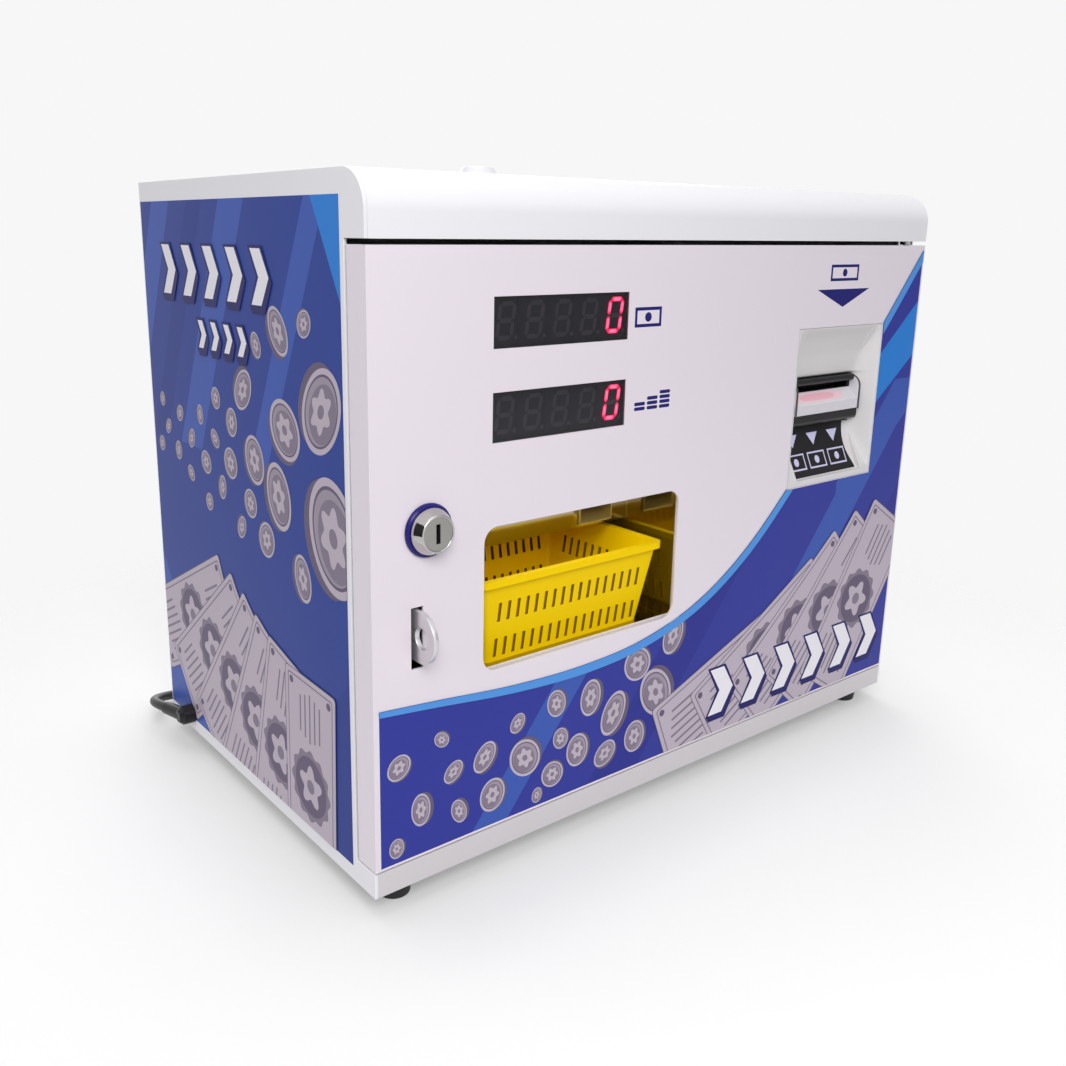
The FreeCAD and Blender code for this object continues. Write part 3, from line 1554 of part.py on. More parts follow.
def coin_disc():
    """Turning disc whose round pockets carry the coins to the exit."""
    body = new_body("coin_disc", dim.hopper_x, dim.hopper_y, disc_bottom)
    plate = new_sketch(body, "plan")
    circle(plate, 0, 0, dim.disc_radius)
    pad(body, plate, dim.disc_thickness)
    hub = new_sketch(body, "plan", dim.disc_thickness)
    circle(hub, 0, 0, dim.disc_hub_radius)
    pad(body, hub, dim.disc_hub_height)
    bore = new_sketch(body, "plan")
    circle(bore, 0, 0, dim.shaft_radius + 0.02)
    pocket(body, bore, dim.disc_thickness + dim.disc_hub_height)
    hole = new_sketch(body, "plan")
    circle(hole, dim.disc_hole_circle, 0, dim.disc_hole_radius)
    first = pocket(body, hole, dim.disc_thickness)
    pattern(body, "PolarPattern", first, "N_Axis", Angle=360, Occurrences=dim.disc_hole_count)
    return body


def hopper_shaft():
    """Output shaft from the gearbox up through the disc, with its cap nut."""
    top = disc_bottom + dim.disc_thickness + dim.disc_hub_height
    bottom = hopper_base_bottom - dim.hopper_table_wall - 18
    shaft = rod("hopper_shaft_bar", (dim.hopper_x, dim.hopper_y, bottom), dim.shaft_radius,
                top - bottom + 2)
    nut = doc.addObject("Part::Prism", "hopper_shaft_nut")
    nut.Polygon = 6
    bind(nut, "Circumradius", dim.shaft_radius * 1.9)
    nut.Height = 4
    place(nut, dim.hopper_x, dim.hopper_y, top)
    return fused("hopper_shaft", [shaft, nut])


def cut_cornered_square(sketch, width, corner):
    """Outline of a centred square whose corners are cut off at 45 degrees."""
    half = width / 2
    short = half - corner
    sloped_outline(sketch, [
        (short, -half), (half, -short), (half, short), (short, half),
        (-short, half), (-half, short), (-half, -short), (-short, -half)])


def hopper_bowl():
    """Open box that narrows in flat facets to the throat over the disc."""
    body = new_body("hopper_bowl", dim.hopper_x, dim.hopper_y, hopper_base_top)
    wall = dim.bowl_wall
    wide = dim.hopper_size - dim.bowl_seat_inset * 2
    throat = dim.hopper_well_radius * 2
    throat_corner = throat * 0.29
    funnel = dim.bowl_funnel_height
    for kind, add, thin in (("AdditiveLoft", pad, 0), ("SubtractiveLoft", pocket, wall)):
        lower = new_sketch(body, "plan")
        cut_cornered_square(lower, throat + 2 * wall - 2 * thin, throat_corner)
        upper = new_sketch(body, "plan", funnel)
        cut_cornered_square(upper, wide - 2 * thin, dim.bowl_corner)
        loft(body, kind, lower, upper)
        box_part = new_sketch(body, "plan", funnel)
        cut_cornered_square(box_part, wide - 2 * thin, dim.bowl_corner)
        add(body, box_part, dim.bowl_height - funnel)
    return body


def hopper_motor():
    """Gear motor hung under the table: square gearbox, round motor and end cap."""
    top = hopper_base_bottom - dim.hopper_table_wall
    half = dim.gearbox_size / 2
    body = new_body("hopper_motor", dim.hopper_x, dim.hopper_y, top - dim.gearbox_height)
    case = new_sketch(body, "plan")
    rectangle(case, -half, -half, half, half, 8)
    pad(body, case, dim.gearbox_height)
    can = new_sketch(body, "plan", -dim.motor_length)
    circle(can, 0, 0, dim.motor_radius)
    pad(body, can, dim.motor_length)
    cap = new_sketch(body, "plan", -dim.motor_length - 4)
    circle(cap, 0, 0, dim.motor_radius * 0.6)
    pad(body, cap, 4)
    bore = new_sketch(body, "plan", dim.gearbox_height - 20)
    circle(bore, 0, 0, dim.shaft_radius + dim.shaft_running_gap)
    pocket(body, bore, 20)
    return body


# ---------------------------------------------------------------- refill hatch

def refill_hatch():
    """Lid with a turned-down rim that drops into the opening in the top."""
    lap, gap = dim.hatch_overlap, dim.hatch_rim_gap
    body = new_body("refill_hatch", dim.hatch_left, dim.hatch_front, dim.cabinet_height)
    lid = new_sketch(body, "plan")
    rectangle(lid, -lap, -lap, dim.hatch_width + lap, dim.hatch_length + lap, 8)
    pad(body, lid, dim.hatch_thickness)
    rim = new_sketch(body, "plan", -dim.hatch_rim_depth)
    rectangle(rim, gap, gap, dim.hatch_width - gap, dim.hatch_length - gap, 6)
    pad(body, rim, dim.hatch_rim_depth)
    inner = gap + dim.hatch_thickness
    hollow = new_sketch(body, "plan", -dim.hatch_rim_depth)
    rectangle(hollow, inner, inner, dim.hatch_width - inner, dim.hatch_length - inner, 5)
    pocket(body, hollow, dim.hatch_rim_depth)
    hole = new_sketch(body, "plan")
    circle(hole, dim.hatch_width / 2, dim.hatch_lock_inset, dim.lock_barrel_radius)
    pocket(body, hole, dim.hatch_thickness)
    return body


def hinge_leaf(name, knuckle_starts, leaf_front, leaf_bottom):
    """Flat leaf with knuckles curled round the pin."""
    span = dim.hinge_knuckle_length * 3 + dim.hinge_knuckle_gap * 2
    left = hatch_lock_x - span / 2
    leaf = box(name + "_plate", (left, leaf_front, leaf_bottom),
               (span, dim.hinge_leaf_width, dim.hinge_leaf_thickness))
    along = FreeCAD.Rotation(FreeCAD.Vector(0, 1, 0), 90)
    knuckles = []
    clearance = []
    slot = dim.hinge_knuckle_length + dim.hinge_knuckle_gap
    for index in range(3):
        start = (left + slot * index, hinge_axis_y, hinge_axis_z)
        if index in knuckle_starts:
            knuckles.append(rod(f"{name}_knuckle_{index}", start, dim.hinge_knuckle_radius,
                                dim.hinge_knuckle_length, along))
        else:
            start = (left + slot * index - dim.hinge_knuckle_gap, hinge_axis_y, hinge_axis_z)
            clearance.append(rod(f"{name}_relief_{index}", start,
                                 dim.hinge_knuckle_radius + dim.seat_clearance,
                                 dim.hinge_knuckle_length + 2 * dim.hinge_knuckle_gap, along))
    bore_start = (left - 1, hinge_axis_y, hinge_axis_z)
    bore = rod(name + "_bore", bore_start,
               dim.hinge_pin_radius + dim.pivot_running_gap, span + 2, along)
    solid = fused(name + "_solid", [leaf] + knuckles)
    return cut(name, solid, fused(name + "_cuts", [bore] + clearance))


def hatch_hinge():
    """Butt hinge behind the hatch: fixed leaf on the top, moving leaf on the lid, and the pin."""
    fixed_leaf = hinge_leaf("hinge_leaf_fixed", (0, 2), hinge_axis_y, dim.cabinet_height)
    moving_leaf = hinge_leaf("hinge_leaf_moving", (1,),
                             hinge_axis_y - dim.hinge_leaf_width, hatch_lid_top)
    span = dim.hinge_knuckle_length * 3 + dim.hinge_knuckle_gap * 2
    along = FreeCAD.Rotation(FreeCAD.Vector(0, 1, 0), 90)
    pin = rod("hinge_pin", (hatch_lock_x - span / 2 - 1, hinge_axis_y, hinge_axis_z),
              dim.hinge_pin_radius, span + 2, along)
    pin.Label = "hinge_pin"
    return [fixed_leaf, moving_leaf, pin]


# ---------------------------------------------------------------- power and control

def power_supply():
    """Cased supply on the base with a row of cooling slots in its lid."""
    body = new_body("power_supply", supply_left, dim.supply_front, base_top)
    case = new_sketch(body, "plan")
    rectangle(case, 0, 0, dim.supply_length, dim.supply_depth)
    pad(body, case, dim.supply_height)
    slot = new_sketch(body, "plan", dim.supply_height - 3)
    left = (dim.supply_length - dim.supply_slot_pitch * (dim.supply_slot_count - 1)) / 2
    rectangle(slot, left - 2, 14, left + 2, dim.supply_depth - 14)
    row_of(body, pocket(body, slot, 3), dim.supply_slot_pitch, dim.supply_slot_count)
    return body


def board_standoffs():
    """Four spacers between the rear panel and the control board."""
    backwards = FreeCAD.Rotation(FreeCAD.Vector(1, 0, 0), -90)
    spacers = []
    inset = dim.standoff_inset
    for column, x in enumerate((board_left + inset, board_left + dim.board_width - inset)):
        for row, z in enumerate((dim.board_bottom + inset,
                                 dim.board_bottom + dim.board_height - inset)):
            spacers.append(rod(f"standoff_{column}{row}",
                               (x, rear_inside - dim.standoff_length, z),
                               dim.standoff_radius, dim.standoff_length, backwards))
    return grouped("board_standoffs", spacers)


# Place and size on the board as shares of its width and height, and how far each stands out.
BOARD_BLOCKS = {
    "transformer": (0.08, 0.58, 0.25, 0.30, "transformer_depth"),
    "relay_upper": (0.41, 0.73, 0.13, 0.13, "relay_depth"),
    "relay_lower": (0.41, 0.55, 0.13, 0.13, "relay_depth"),
    "processor": (0.40, 0.22, 0.20, 0.25, "chip_depth"),
    "connector_row": (0.08, 0.07, 0.40, 0.08, "connector_depth"),
    "connector_block": (0.69, 0.07, 0.23, 0.10, "connector_depth"),
}


def control_board():
    """Circuit board with its transformer, relays, connectors and capacitors."""
    front = rear_inside - dim.standoff_length - dim.board_thickness
    width, height = dim.board_width, dim.board_height
    parts = [box("control_board_plate", (board_left, front, dim.board_bottom),
                 (width, dim.board_thickness, height))]
    for name, (x, z, wide, high, depth_name) in BOARD_BLOCKS.items():
        depth = getattr(dim, depth_name)
        parts.append(box("board_" + name,
                         (board_left + width * x, front - depth, dim.board_bottom + height * z),
                         (width * wide, depth, height * high)))
    forwards = FreeCAD.Rotation(FreeCAD.Vector(1, 0, 0), 90)
    for index in range(3):
        parts.append(rod(f"board_capacitor_{index}",
                         (board_left + width * (0.69 + 0.095 * index), front,
                          dim.board_bottom + height * 0.77),
                         dim.capacitor_radius, dim.capacitor_length, forwards))
    return fused("control_board", parts)


def switch_housing():
    """Snap-in body of the mains switch with a flange outside the rear panel."""
    width, height = dim.switch_width, dim.switch_height
    body = new_body("switch_housing", switch_x, rear_face, dim.switch_z)
    flange = new_sketch(body, "front")
    centred_rectangle(flange, width + 2 * dim.switch_flange, height + 2 * dim.switch_flange, 2)
    pad(body, flange, dim.switch_flange_thickness)
    case = new_sketch(body, "front", -dim.switch_body_depth)
    gap = dim.seat_clearance
    centred_rectangle(case, width - gap, height - gap)
    pad(body, case, dim.switch_body_depth)
    well = new_sketch(body, "front", -dim.switch_well_depth)
    centred_rectangle(well, width - 6, height - 6)
    pocket(body, well, dim.switch_well_depth + dim.switch_flange_thickness)
    return body


def switch_rocker():
    """Rocker in the housing, resting with its lower end out."""
    body = new_body("switch_rocker", switch_x, rear_face, dim.switch_z)
    half_width = (dim.switch_width - 6) / 2 - dim.seat_clearance
    reach = dim.shell_thickness + dim.rear_reach
    half_height = dim.switch_height / 2 - 3 - dim.seat_clearance
    sketch = new_sketch(body, "side", -half_width)
    tip = half_height * 0.87
    sloped_outline(sketch, [
        (reach, -tip),
        (dim.switch_flange_thickness * 0.75, 0),
        (dim.switch_flange_thickness * 0.7, tip),
        (-3, tip * 0.8),
        (-3.6, -tip * 0.8),
    ])
    pad(body, sketch, half_width * 2)
    pin = new_sketch(body, "side", -half_width - 0.2)
    circle(pin, -1, 0, 1.5)
    pad(body, pin, half_width * 2 + 0.4)
    return body


# ---------------------------------------------------------------- mains lead

def cord_gland():
    """Angled strain relief in the left wall: a domed elbow whose tapered nozzle points back."""
    turn_left = FreeCAD.Rotation(FreeCAD.Vector(0, 0, 1), 90)
    seat = new_body("gland_seat", 0, dim.gland_y, dim.gland_z, turn_left)
    inside = -dim.side_thickness
    dome = dim.gland_dome_radius
    turned_piece(seat, [
        (0, dome * 1.7),
        (0, inside - dim.gland_flange_thickness),
        (dim.gland_flange_radius, inside - dim.gland_flange_thickness),
        (dim.gland_flange_radius, inside),
        (dim.gland_neck_radius, inside),
        (dim.gland_neck_radius, 0),
        (dome, 0),
        (dome, dome * 1.25),
        (dome * 0.6, dome * 1.7),
    ])
    nozzle = doc.addObject("Part::Cone", "gland_nozzle")
    bind(nozzle, "Radius1", dim.gland_nozzle_radius)
    bind(nozzle, "Radius2", dim.gland_tip_radius)
    bind(nozzle, "Height", dim.gland_length)
    place(nozzle, *gland_nozzle_start(), FreeCAD.Rotation(FreeCAD.Vector(0, 0, 1), NOZZLE_WAY))
    return fused("cord_gland", [seat, nozzle])


NOZZLE_WAY = FreeCAD.Vector(-0.17, 0.98, -0.1).normalize()


def gland_nozzle_start():
    return -dim.gland_dome_radius * 0.9, dim.gland_y - 1, dim.gland_z


def cord_path(points):
    """Straight runs joined by tangent arcs, each as large as its two runs allow."""
    radii = []
    edges = []
    start = points[0]
    for before, corner, after in zip(points, points[1:], points[2:]):
        inward = corner - before
        outward = after - corner
        shorter = min(inward.Length, outward.Length)
        turn = inward.getAngle(outward)
        cutback = 0.45 * shorter
        radii.append(cutback / math.tan(turn / 2))
        leave = corner - inward.normalize() * cutback
        join = corner + outward.normalize() * cutback
        bisector = (join + leave) * 0.5 - corner
        reach = radii[-1] / math.cos(turn / 2) - radii[-1]
        middle = corner + bisector.normalize() * reach
        edges.append(Part.LineSegment(start, leave).toShape())
        edges.append(Part.Arc(leave, middle, join).toShape())
        start = join
    edges.append(Part.LineSegment(start, points[-1]).toShape())
    print("cord bend radii:", [round(radius, 1) for radius in radii])
    return Part.Wire(edges)


def cord_tube(name, route):
    """Round tube along a route given in the cabinet frame."""
    corner = FreeCAD.Vector(*[side.number for side in cabinet_corner])
    points = [FreeCAD.Vector(*point) for point in route]
    path = cord_path(points)
    radius = dim.cord_radius.number
    ring = Part.Circle(points[0], points[1] - points[0], radius).toShape()
    tube = path.makePipeShell([Part.Wire(ring)], True, False)
    expected = math.pi * radius ** 2 * path.Length
    print(name, "length", round(path.Length, 1), "volume ratio", round(tube.Volume / expected, 4))
    piece = doc.addObject("Part::Feature", name)
    piece.Label = name
    piece.Shape = tube
    piece.Placement = FreeCAD.Placement(corner, UPRIGHT)
    return piece


def power_cord():
    """Lead from the strain relief round the cabinet's left rear corner and into the coil."""
    floor = -dim.foot_height.number + dim.cord_radius.number
    start = FreeCAD.Vector(*[as_size(side).number for side in gland_nozzle_start()])
    tip = start + NOZZLE_WAY * dim.gland_length.number
    bend = tip + NOZZLE_WAY * 11
    coil_front = coil_front_line()
    coil_entry = dim.coil_x.number - dim.coil_overlap.number
    return cord_tube("power_cord", [
        tuple(tip),
        tuple(bend),
        (bend.x + 1.3, bend.y + 14.1, bend.z - 3.4),
        (bend.x + 7.5, bend.y + 28.1, bend.z - 8.4),
        (bend.x + 18.1, bend.y + 39.2, bend.z - 13.3),
        (bend.x + 31.6, bend.y + 46.0, floor + 1.5),
        (bend.x + 48.1, bend.y + 48.1, floor),
        (bend.x + 78, coil_front + 2.6, floor),
        (coil_entry - 42, coil_front + 1.2, floor),
        (coil_entry, coil_front, floor),
    ])


def coil_front_line():
    """How far back the middle of the coil's outermost turn runs, at its front."""
    outer_turn = dim.coil_middle_radius + dim.cord_radius
    return (dim.coil_y - outer_turn).number


def cord_coil():
    """Outer shape of the wound lead that lies behind the cabinet."""
    body = new_body("cord_coil", dim.coil_x, dim.coil_y, -dim.foot_height)
    sketch = new_sketch(body, "front")
    inner = dim.coil_middle_radius - dim.coil_band_width / 2
    outer = dim.coil_middle_radius + dim.coil_band_width / 2
    slope = dim.coil_band_width / 4
    sloped_outline(sketch, [
        (inner, 0), (outer, 0),
        (outer, dim.coil_band_height - slope * 2), (outer - slope, dim.coil_band_height),
        (inner + slope, dim.coil_band_height), (inner, dim.coil_band_height - slope * 2),
    ])
    revolve(body, sketch)
    return body


def cord_tail():
    """Last stretch of the lead from the coil to the plug."""
    floor = -dim.foot_height.number + dim.cord_radius.number
    leave = dim.coil_x.number + dim.coil_overlap.number
    coil_front = coil_front_line()
    plug_x, plug_y = dim.plug_x.number, dim.plug_y.number
    plug_axis = -dim.foot_height.number + dim.plug_height.number / 2
    return cord_tube("cord_tail", [
        (leave, coil_front, floor + dim.coil_exit_rise.number),
        (leave + 17, coil_front + 0.2, floor + dim.coil_exit_rise.number - 0.9),
        (leave + 38, coil_front + 2.2, floor + 2.2),
        (plug_x - 47, plug_y - 6, floor + 0.6),
        (plug_x - 28, plug_y - 1.5, floor + 4),
        (plug_x - 13, plug_y, plug_axis - 0.3),
        (plug_x, plug_y, plug_axis),
    ])


def mains_plug():
    """Moulded three-pin plug lying on the table."""
    body = new_body("mains_plug", dim.plug_x, dim.plug_y,
                    -dim.foot_height + dim.plug_height / 2)
    neck = new_sketch(body, "side")
    circle(neck, 0, 0, dim.cord_radius + 2)
    pad(body, neck, 12)
    grip = new_sketch(body, "side", 10)
    centred_rectangle(grip, dim.plug_width, dim.plug_height, 6)
    pad(body, grip, dim.plug_length - 10)
    for y in (-6.35, 6.35):
        blade = new_sketch(body, "side", dim.plug_length)
        rectangle(blade, y - 0.75, 0, y + 0.75, 6.3)
        pad(body, blade, dim.plug_blade_length)
    earth = new_sketch(body, "side", dim.plug_length)
    circle(earth, 0, -7, 2.4)
    pad(body, earth, dim.plug_blade_length + 3)
    return body


# ---------------------------------------------------------------- build, check and write

def build_all():
    nodes = [
        left_side_panel(), right_side_panel(), top_cover(), base_tray(), rear_panel(),
        rubber_feet(), foot_screws(), door_panel(), pivot_blocks(), pivot_pins(),
        acceptor_bezel(), accept_card(), acceptor_mouth(), bill_tray(), acceptor_bracket(),
        acceptor_head(), cash_cassette(), lock_strike(), hatch_strike(), hasp_bracket(),
        coin_bay(), bay_frame(), bay_stand(), coin_basket(), coin_chute(),
        hopper_table(), hopper_base(), coin_disc(), hopper_shaft(), hopper_bowl(),
        hopper_motor(), refill_hatch(), power_supply(), board_standoffs(), control_board(),
        switch_housing(), switch_rocker(),
        cord_gland(), power_cord(), cord_coil(), cord_tail(), mains_plug(),
    ]
    for side, bottom in (("upper", dim.upper_display_bottom), ("lower", dim.lower_display_bottom)):
        nodes.append(display_lens(f"display_lens_{side}", bottom))
        nodes.append(display_housing(f"display_housing_{side}", bottom))
        nodes.append(display_board(f"display_board_{side}", bottom))
        nodes.append(display_digits(f"display_digits_{side}", bottom))
    nodes += door_lock() + hatch_lock() + hatch_hinge()
    return nodes


def check_document():
    doc.recompute()
    for thing in doc.Objects:
        if "Invalid" in thing.State or "Error" in thing.State:
            raise RuntimeError(f"{thing.Name} is {thing.State}")


def write_nodes(nodes):
    os.makedirs("parts", exist_ok=True)
    for node in nodes:
        shape = node.Shape
        if shape.isNull() or not shape.isValid() or not shape.Solids:
            raise RuntimeError(f"{node.Label} has no valid solid")
        shape.exportStep(f"parts/{node.Label}.step")
    print(len(nodes), "nodes written")


all_nodes = build_all()
check_document()
write_nodes(all_nodes)
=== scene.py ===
"""Looks for the coin changer: materials, printed films, displays, lead and studio.

Lengths are millimetres in the cabinet frame (x right from the left side, y back from the door's
face, z up from the underside of the base); at() turns them into metres in the row frame.
"""
import math
import random

import bpy
from mathutils import Matrix, Vector
from mathutils.geometry import tessellate_polygon


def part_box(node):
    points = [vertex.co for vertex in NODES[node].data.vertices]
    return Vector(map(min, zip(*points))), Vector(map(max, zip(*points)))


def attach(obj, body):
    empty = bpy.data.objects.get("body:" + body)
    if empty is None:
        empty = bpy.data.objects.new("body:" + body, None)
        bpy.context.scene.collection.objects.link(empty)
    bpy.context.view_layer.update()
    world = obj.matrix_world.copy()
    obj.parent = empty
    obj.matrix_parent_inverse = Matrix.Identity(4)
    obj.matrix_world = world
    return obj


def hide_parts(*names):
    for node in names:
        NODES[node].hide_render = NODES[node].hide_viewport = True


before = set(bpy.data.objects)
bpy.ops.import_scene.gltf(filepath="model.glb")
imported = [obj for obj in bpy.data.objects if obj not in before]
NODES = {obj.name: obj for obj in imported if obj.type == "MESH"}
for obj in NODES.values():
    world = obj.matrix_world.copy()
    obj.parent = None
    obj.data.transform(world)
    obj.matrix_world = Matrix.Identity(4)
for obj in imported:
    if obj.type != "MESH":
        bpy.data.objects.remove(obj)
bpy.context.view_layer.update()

FOOT_HEIGHT = 13.0
BOARD_THICKNESS = 1.6
MM = 0.001


def box(name):
    """Low and high corner of a piece of the frame."""
    return [Vector(corner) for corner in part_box(name)]


CORNER = box("side_panel_left")[0]


def at(x, y, z):
    """Place in the row frame."""
    return CORNER + Vector((x, y, z)) * MM


# -------- colours and materials

def srgb(code):
    """Linear colour from a six-digit screen colour."""
    channels = [int(code[i:i + 2], 16) / 255 for i in (0, 2, 4)]
    linear = [c / 12.92 if c <= 0.04045 else ((c + 0.055) / 1.055) ** 2.4 for c in channels]
    return (*linear, 1.0)


def set_inputs(node, *in_order, **named):
    """Set a node's inputs, or link the ones that are given an output; _ stands for a space."""
    pairs = list(zip(node.inputs, in_order))
    pairs += [(node.inputs[key.replace("_", " ")], value) for key, value in named.items()]
    for socket, value in pairs:
        if isinstance(value, bpy.types.NodeSocket):
            node.id_data.links.new(value, socket)
        else:
            socket.default_value = value
    return node


def add_node(tree, kind, *in_order, **named):
    return set_inputs(tree.nodes.new(f"ShaderNode{kind}"), *in_order, **named)


def shader_of(made):
    return made.node_tree.nodes["Principled BSDF"]


def material(name, colour, roughness=0.5, metallic=0.0, **inputs):
    made = bpy.data.materials.new(name)
    made.use_nodes = True
    set_inputs(shader_of(made), Base_Color=srgb(colour), Roughness=roughness, Metallic=metallic,
               **inputs)
    return made


def add_bump(made, scale, strength):
    """Fine surface relief, such as the skin of powder paint or moulded plastic."""
    tree = made.node_tree
    place = add_node(tree, "TexCoord").outputs["Object"]
    noise = add_node(tree, "TexNoise", place, Scale=scale, Detail=2.0)
    bump = add_node(tree, "Bump", Strength=strength, Distance=0.2 * MM,
                    Height=noise.outputs["Fac"])
    set_inputs(shader_of(made), Normal=bump.outputs["Normal"])
    return made


def add_brushing(made, stretch, low, high):
    """Roughness that varies in streaks, as on rolled or brushed sheet."""
    tree = made.node_tree
    place = add_node(tree, "TexCoord").outputs["Object"]
    mapping = add_node(tree, "Mapping", place, Scale=stretch)
    noise = add_node(tree, "TexNoise", mapping.outputs["Vector"], Scale=1.0, Detail=3.0)
    spread = add_node(tree, "MapRange", noise.outputs["Fac"], To_Min=low, To_Max=high)
    set_inputs(shader_of(made), Roughness=spread.outputs["Result"])
    return made


def see_through(made, tint, share):
    """Mix the shader with plain transparency, so that what lies behind shows without blur."""
    tree = made.node_tree
    clear = add_node(tree, "BsdfTransparent", srgb(tint))
    mix = add_node(tree, "MixShader", share, shader_of(made).outputs["BSDF"],
                   clear.outputs["BSDF"])
    set_inputs(tree.nodes["Material Output"], mix.outputs["Shader"])
    return made


# Base tray's paint is greyer than the white paint, as painted shade for its low band where less
# light falls.
BASE_PAINT_SHADED = add_bump(material("Base paint with painted shade", "D3CFD2", 0.4), 900, 0.06)
WHITE_PAINT = add_bump(material("White paint", "ECEBEF", 0.36), 900, 0.06)
DOOR_PAINT = add_bump(material("Door paint", "E8DFE7", 0.34), 900, 0.06)
FRAME_PAINT = add_bump(material("Frame paint", "EDEAEF", 0.35), 900, 0.06)
POLISHED = add_brushing(material("Polished sheet", "B4AE9C", 0.1, 1.0), (3, 3, 160), 0.05, 0.13)
# Chute metal with a yellow tint: the grey is the metal's own, the yellow is a painted reflection of
# the basket.
CHUTE_METAL_AND_REFLECTION = material("Chute sheet with painted reflection", "D2BC70", 0.3, 0.7)
STEEL = add_brushing(material("Plated steel", "B9B9BC", 0.3, 1.0), (40, 40, 6), 0.24, 0.38)
BRIGHT_ZINC = add_brushing(material("Bright zinc", "D6D3D7", 0.3, 0.75), (90, 90, 20), 0.2, 0.42)
ZINC = add_brushing(material("Zinc sheet", "B4B6B8", 0.4, 1.0), (12, 12, 12), 0.32, 0.46)
LIGHT_CHROME = material("Light chrome", "E6E5E8", 0.3, 0.3)
CHROME = material("Lock chrome", "BDBBB9", 0.09, 1.0)
SATIN = add_brushing(material("Lock face", "9E9C99", 0.34, 1.0), (220, 220, 30), 0.28, 0.42)
# Darker yellow for the walls of the basket's slots, as painted shade.
YELLOW_PAINTED_SHADE = material("Yellow slot wall painted shade", "9A7C00", 0.6, Specular_IOR_Level=0.05)
YELLOW = add_bump(material("Yellow plastic", "FBD400", 0.38, Specular_IOR_Level=0.08), 500, 0.05)
FROSTED = see_through(material("Clear plastic", "F1EEF4", 0.22), "F6F6FA", 0.2)
EDGING = material("Tray edging", "47454A", 0.4)
TRAY_GLOW = material("Tray glow", "F0CDD5", 0.4)
TRAY_GLOW_DEEP = material("Tray glow deep", "EDB4C1", 0.4)
SMOKED = see_through(material("Smoked plastic", "403F43", 0.2, Specular_IOR_Level=0.4),
                     "E6E4E8", 0.6)
BEZEL = add_bump(material("Bezel plastic", "DCD9DA", 0.45), 700, 0.08)
BLACK = add_bump(material("Black plastic", "1B191C", 0.36, Specular_IOR_Level=0.3), 600, 0.08)
BLUE_PLASTIC = material("Blue plastic", "1A176A", 0.22, Specular_IOR_Level=0.25)
RELAY_BLUE = material("Relay case", "2A5CA8", 0.4)
CONNECTOR = material("Connector", "E4E0D2", 0.45)
CAPACITOR = material("Capacitor sleeve", "24262E", 0.35)
SOLDER = material("Solder", "D4D4D8", 0.3, 0.8)
BOARD_GREEN = material("Circuit board", "14532F", 0.4)
DIGIT_FACE = material("Digit face", "434246", 0.6)
SEGMENT_OFF = material("Segment unlit", "98979C", 0.5)
SEGMENT_LIT = material("Segment lit", "FF2E6E", 0.5, Emission_Color=srgb("FF1450"),
                       Emission_Strength=5.4)
SEGMENT_CORE = material("Segment core", "FF8FB0", 0.5, Emission_Color=srgb("FF6F9A"),
                        Emission_Strength=5.4)
CARD = material("Card", "1C1A1E", 0.5, Specular_IOR_Level=0.2)
CARD_MARK = material("Card mark", "CFCDEC", 0.5)
RUBBER = add_bump(material("Foot rubber", "1A191B", 0.62), 400, 0.2)
SHEATH = add_bump(material("Cord sheath", "161517", 0.46), 400, 0.1)

DISPLAYS = {"upper": 308.2, "lower": 257.9}


def of_locks(*pieces):
    return [f"{lock}_{piece}" for lock in ("door_lock", "hatch_lock") for piece in pieces]


def of_displays(piece):
    return [f"display_{piece}_{name}" for name in DISPLAYS]


FINISHES = {
    WHITE_PAINT: ["side_panel_left", "side_panel_right", "top_cover", "rear_panel", "refill_hatch"],
    BASE_PAINT_SHADED: ["base_tray"],
    DOOR_PAINT: ["door_panel"],
    FRAME_PAINT: ["bay_frame"],
    POLISHED: ["coin_bay"],
    CHUTE_METAL_AND_REFLECTION: ["coin_chute"],
    STEEL: ["door_pivot_blocks", "door_pivot_pins", "acceptor_bracket", "lock_strike",
            "hatch_strike", "hopper_shaft", "board_standoffs", "foot_screws", "hinge_leaf_fixed",
            "hinge_leaf_moving", "hinge_pin", *of_locks("cam", "nut")],
    BRIGHT_ZINC: ["hasp_bracket"],
    ZINC: ["bay_stand", "hopper_table", "power_supply", "hopper_motor"],
    CHROME: ["door_lock_body"],
    LIGHT_CHROME: ["hatch_lock_body"],
    SATIN: of_locks("plug"),
    YELLOW: ["coin_basket"],
    FROSTED: ["bill_tray"],
    SMOKED: of_displays("lens"),
    BEZEL: ["acceptor_bezel", "coin_disc"],
    BLACK: ["acceptor_mouth", "acceptor_head", "cash_cassette", "hopper_base", "hopper_bowl",
            "switch_housing", "switch_rocker", "cord_gland", "mains_plug",
            *of_displays("housing")],
    BLUE_PLASTIC: of_locks("ring"),
    BOARD_GREEN: ["control_board", *of_displays("board")],
    DIGIT_FACE: of_displays("digits"),
    CARD: ["accept_card"],
    RUBBER: ["rubber_feet"],
    SHEATH: ["power_cord", "cord_coil", "cord_tail"],
}

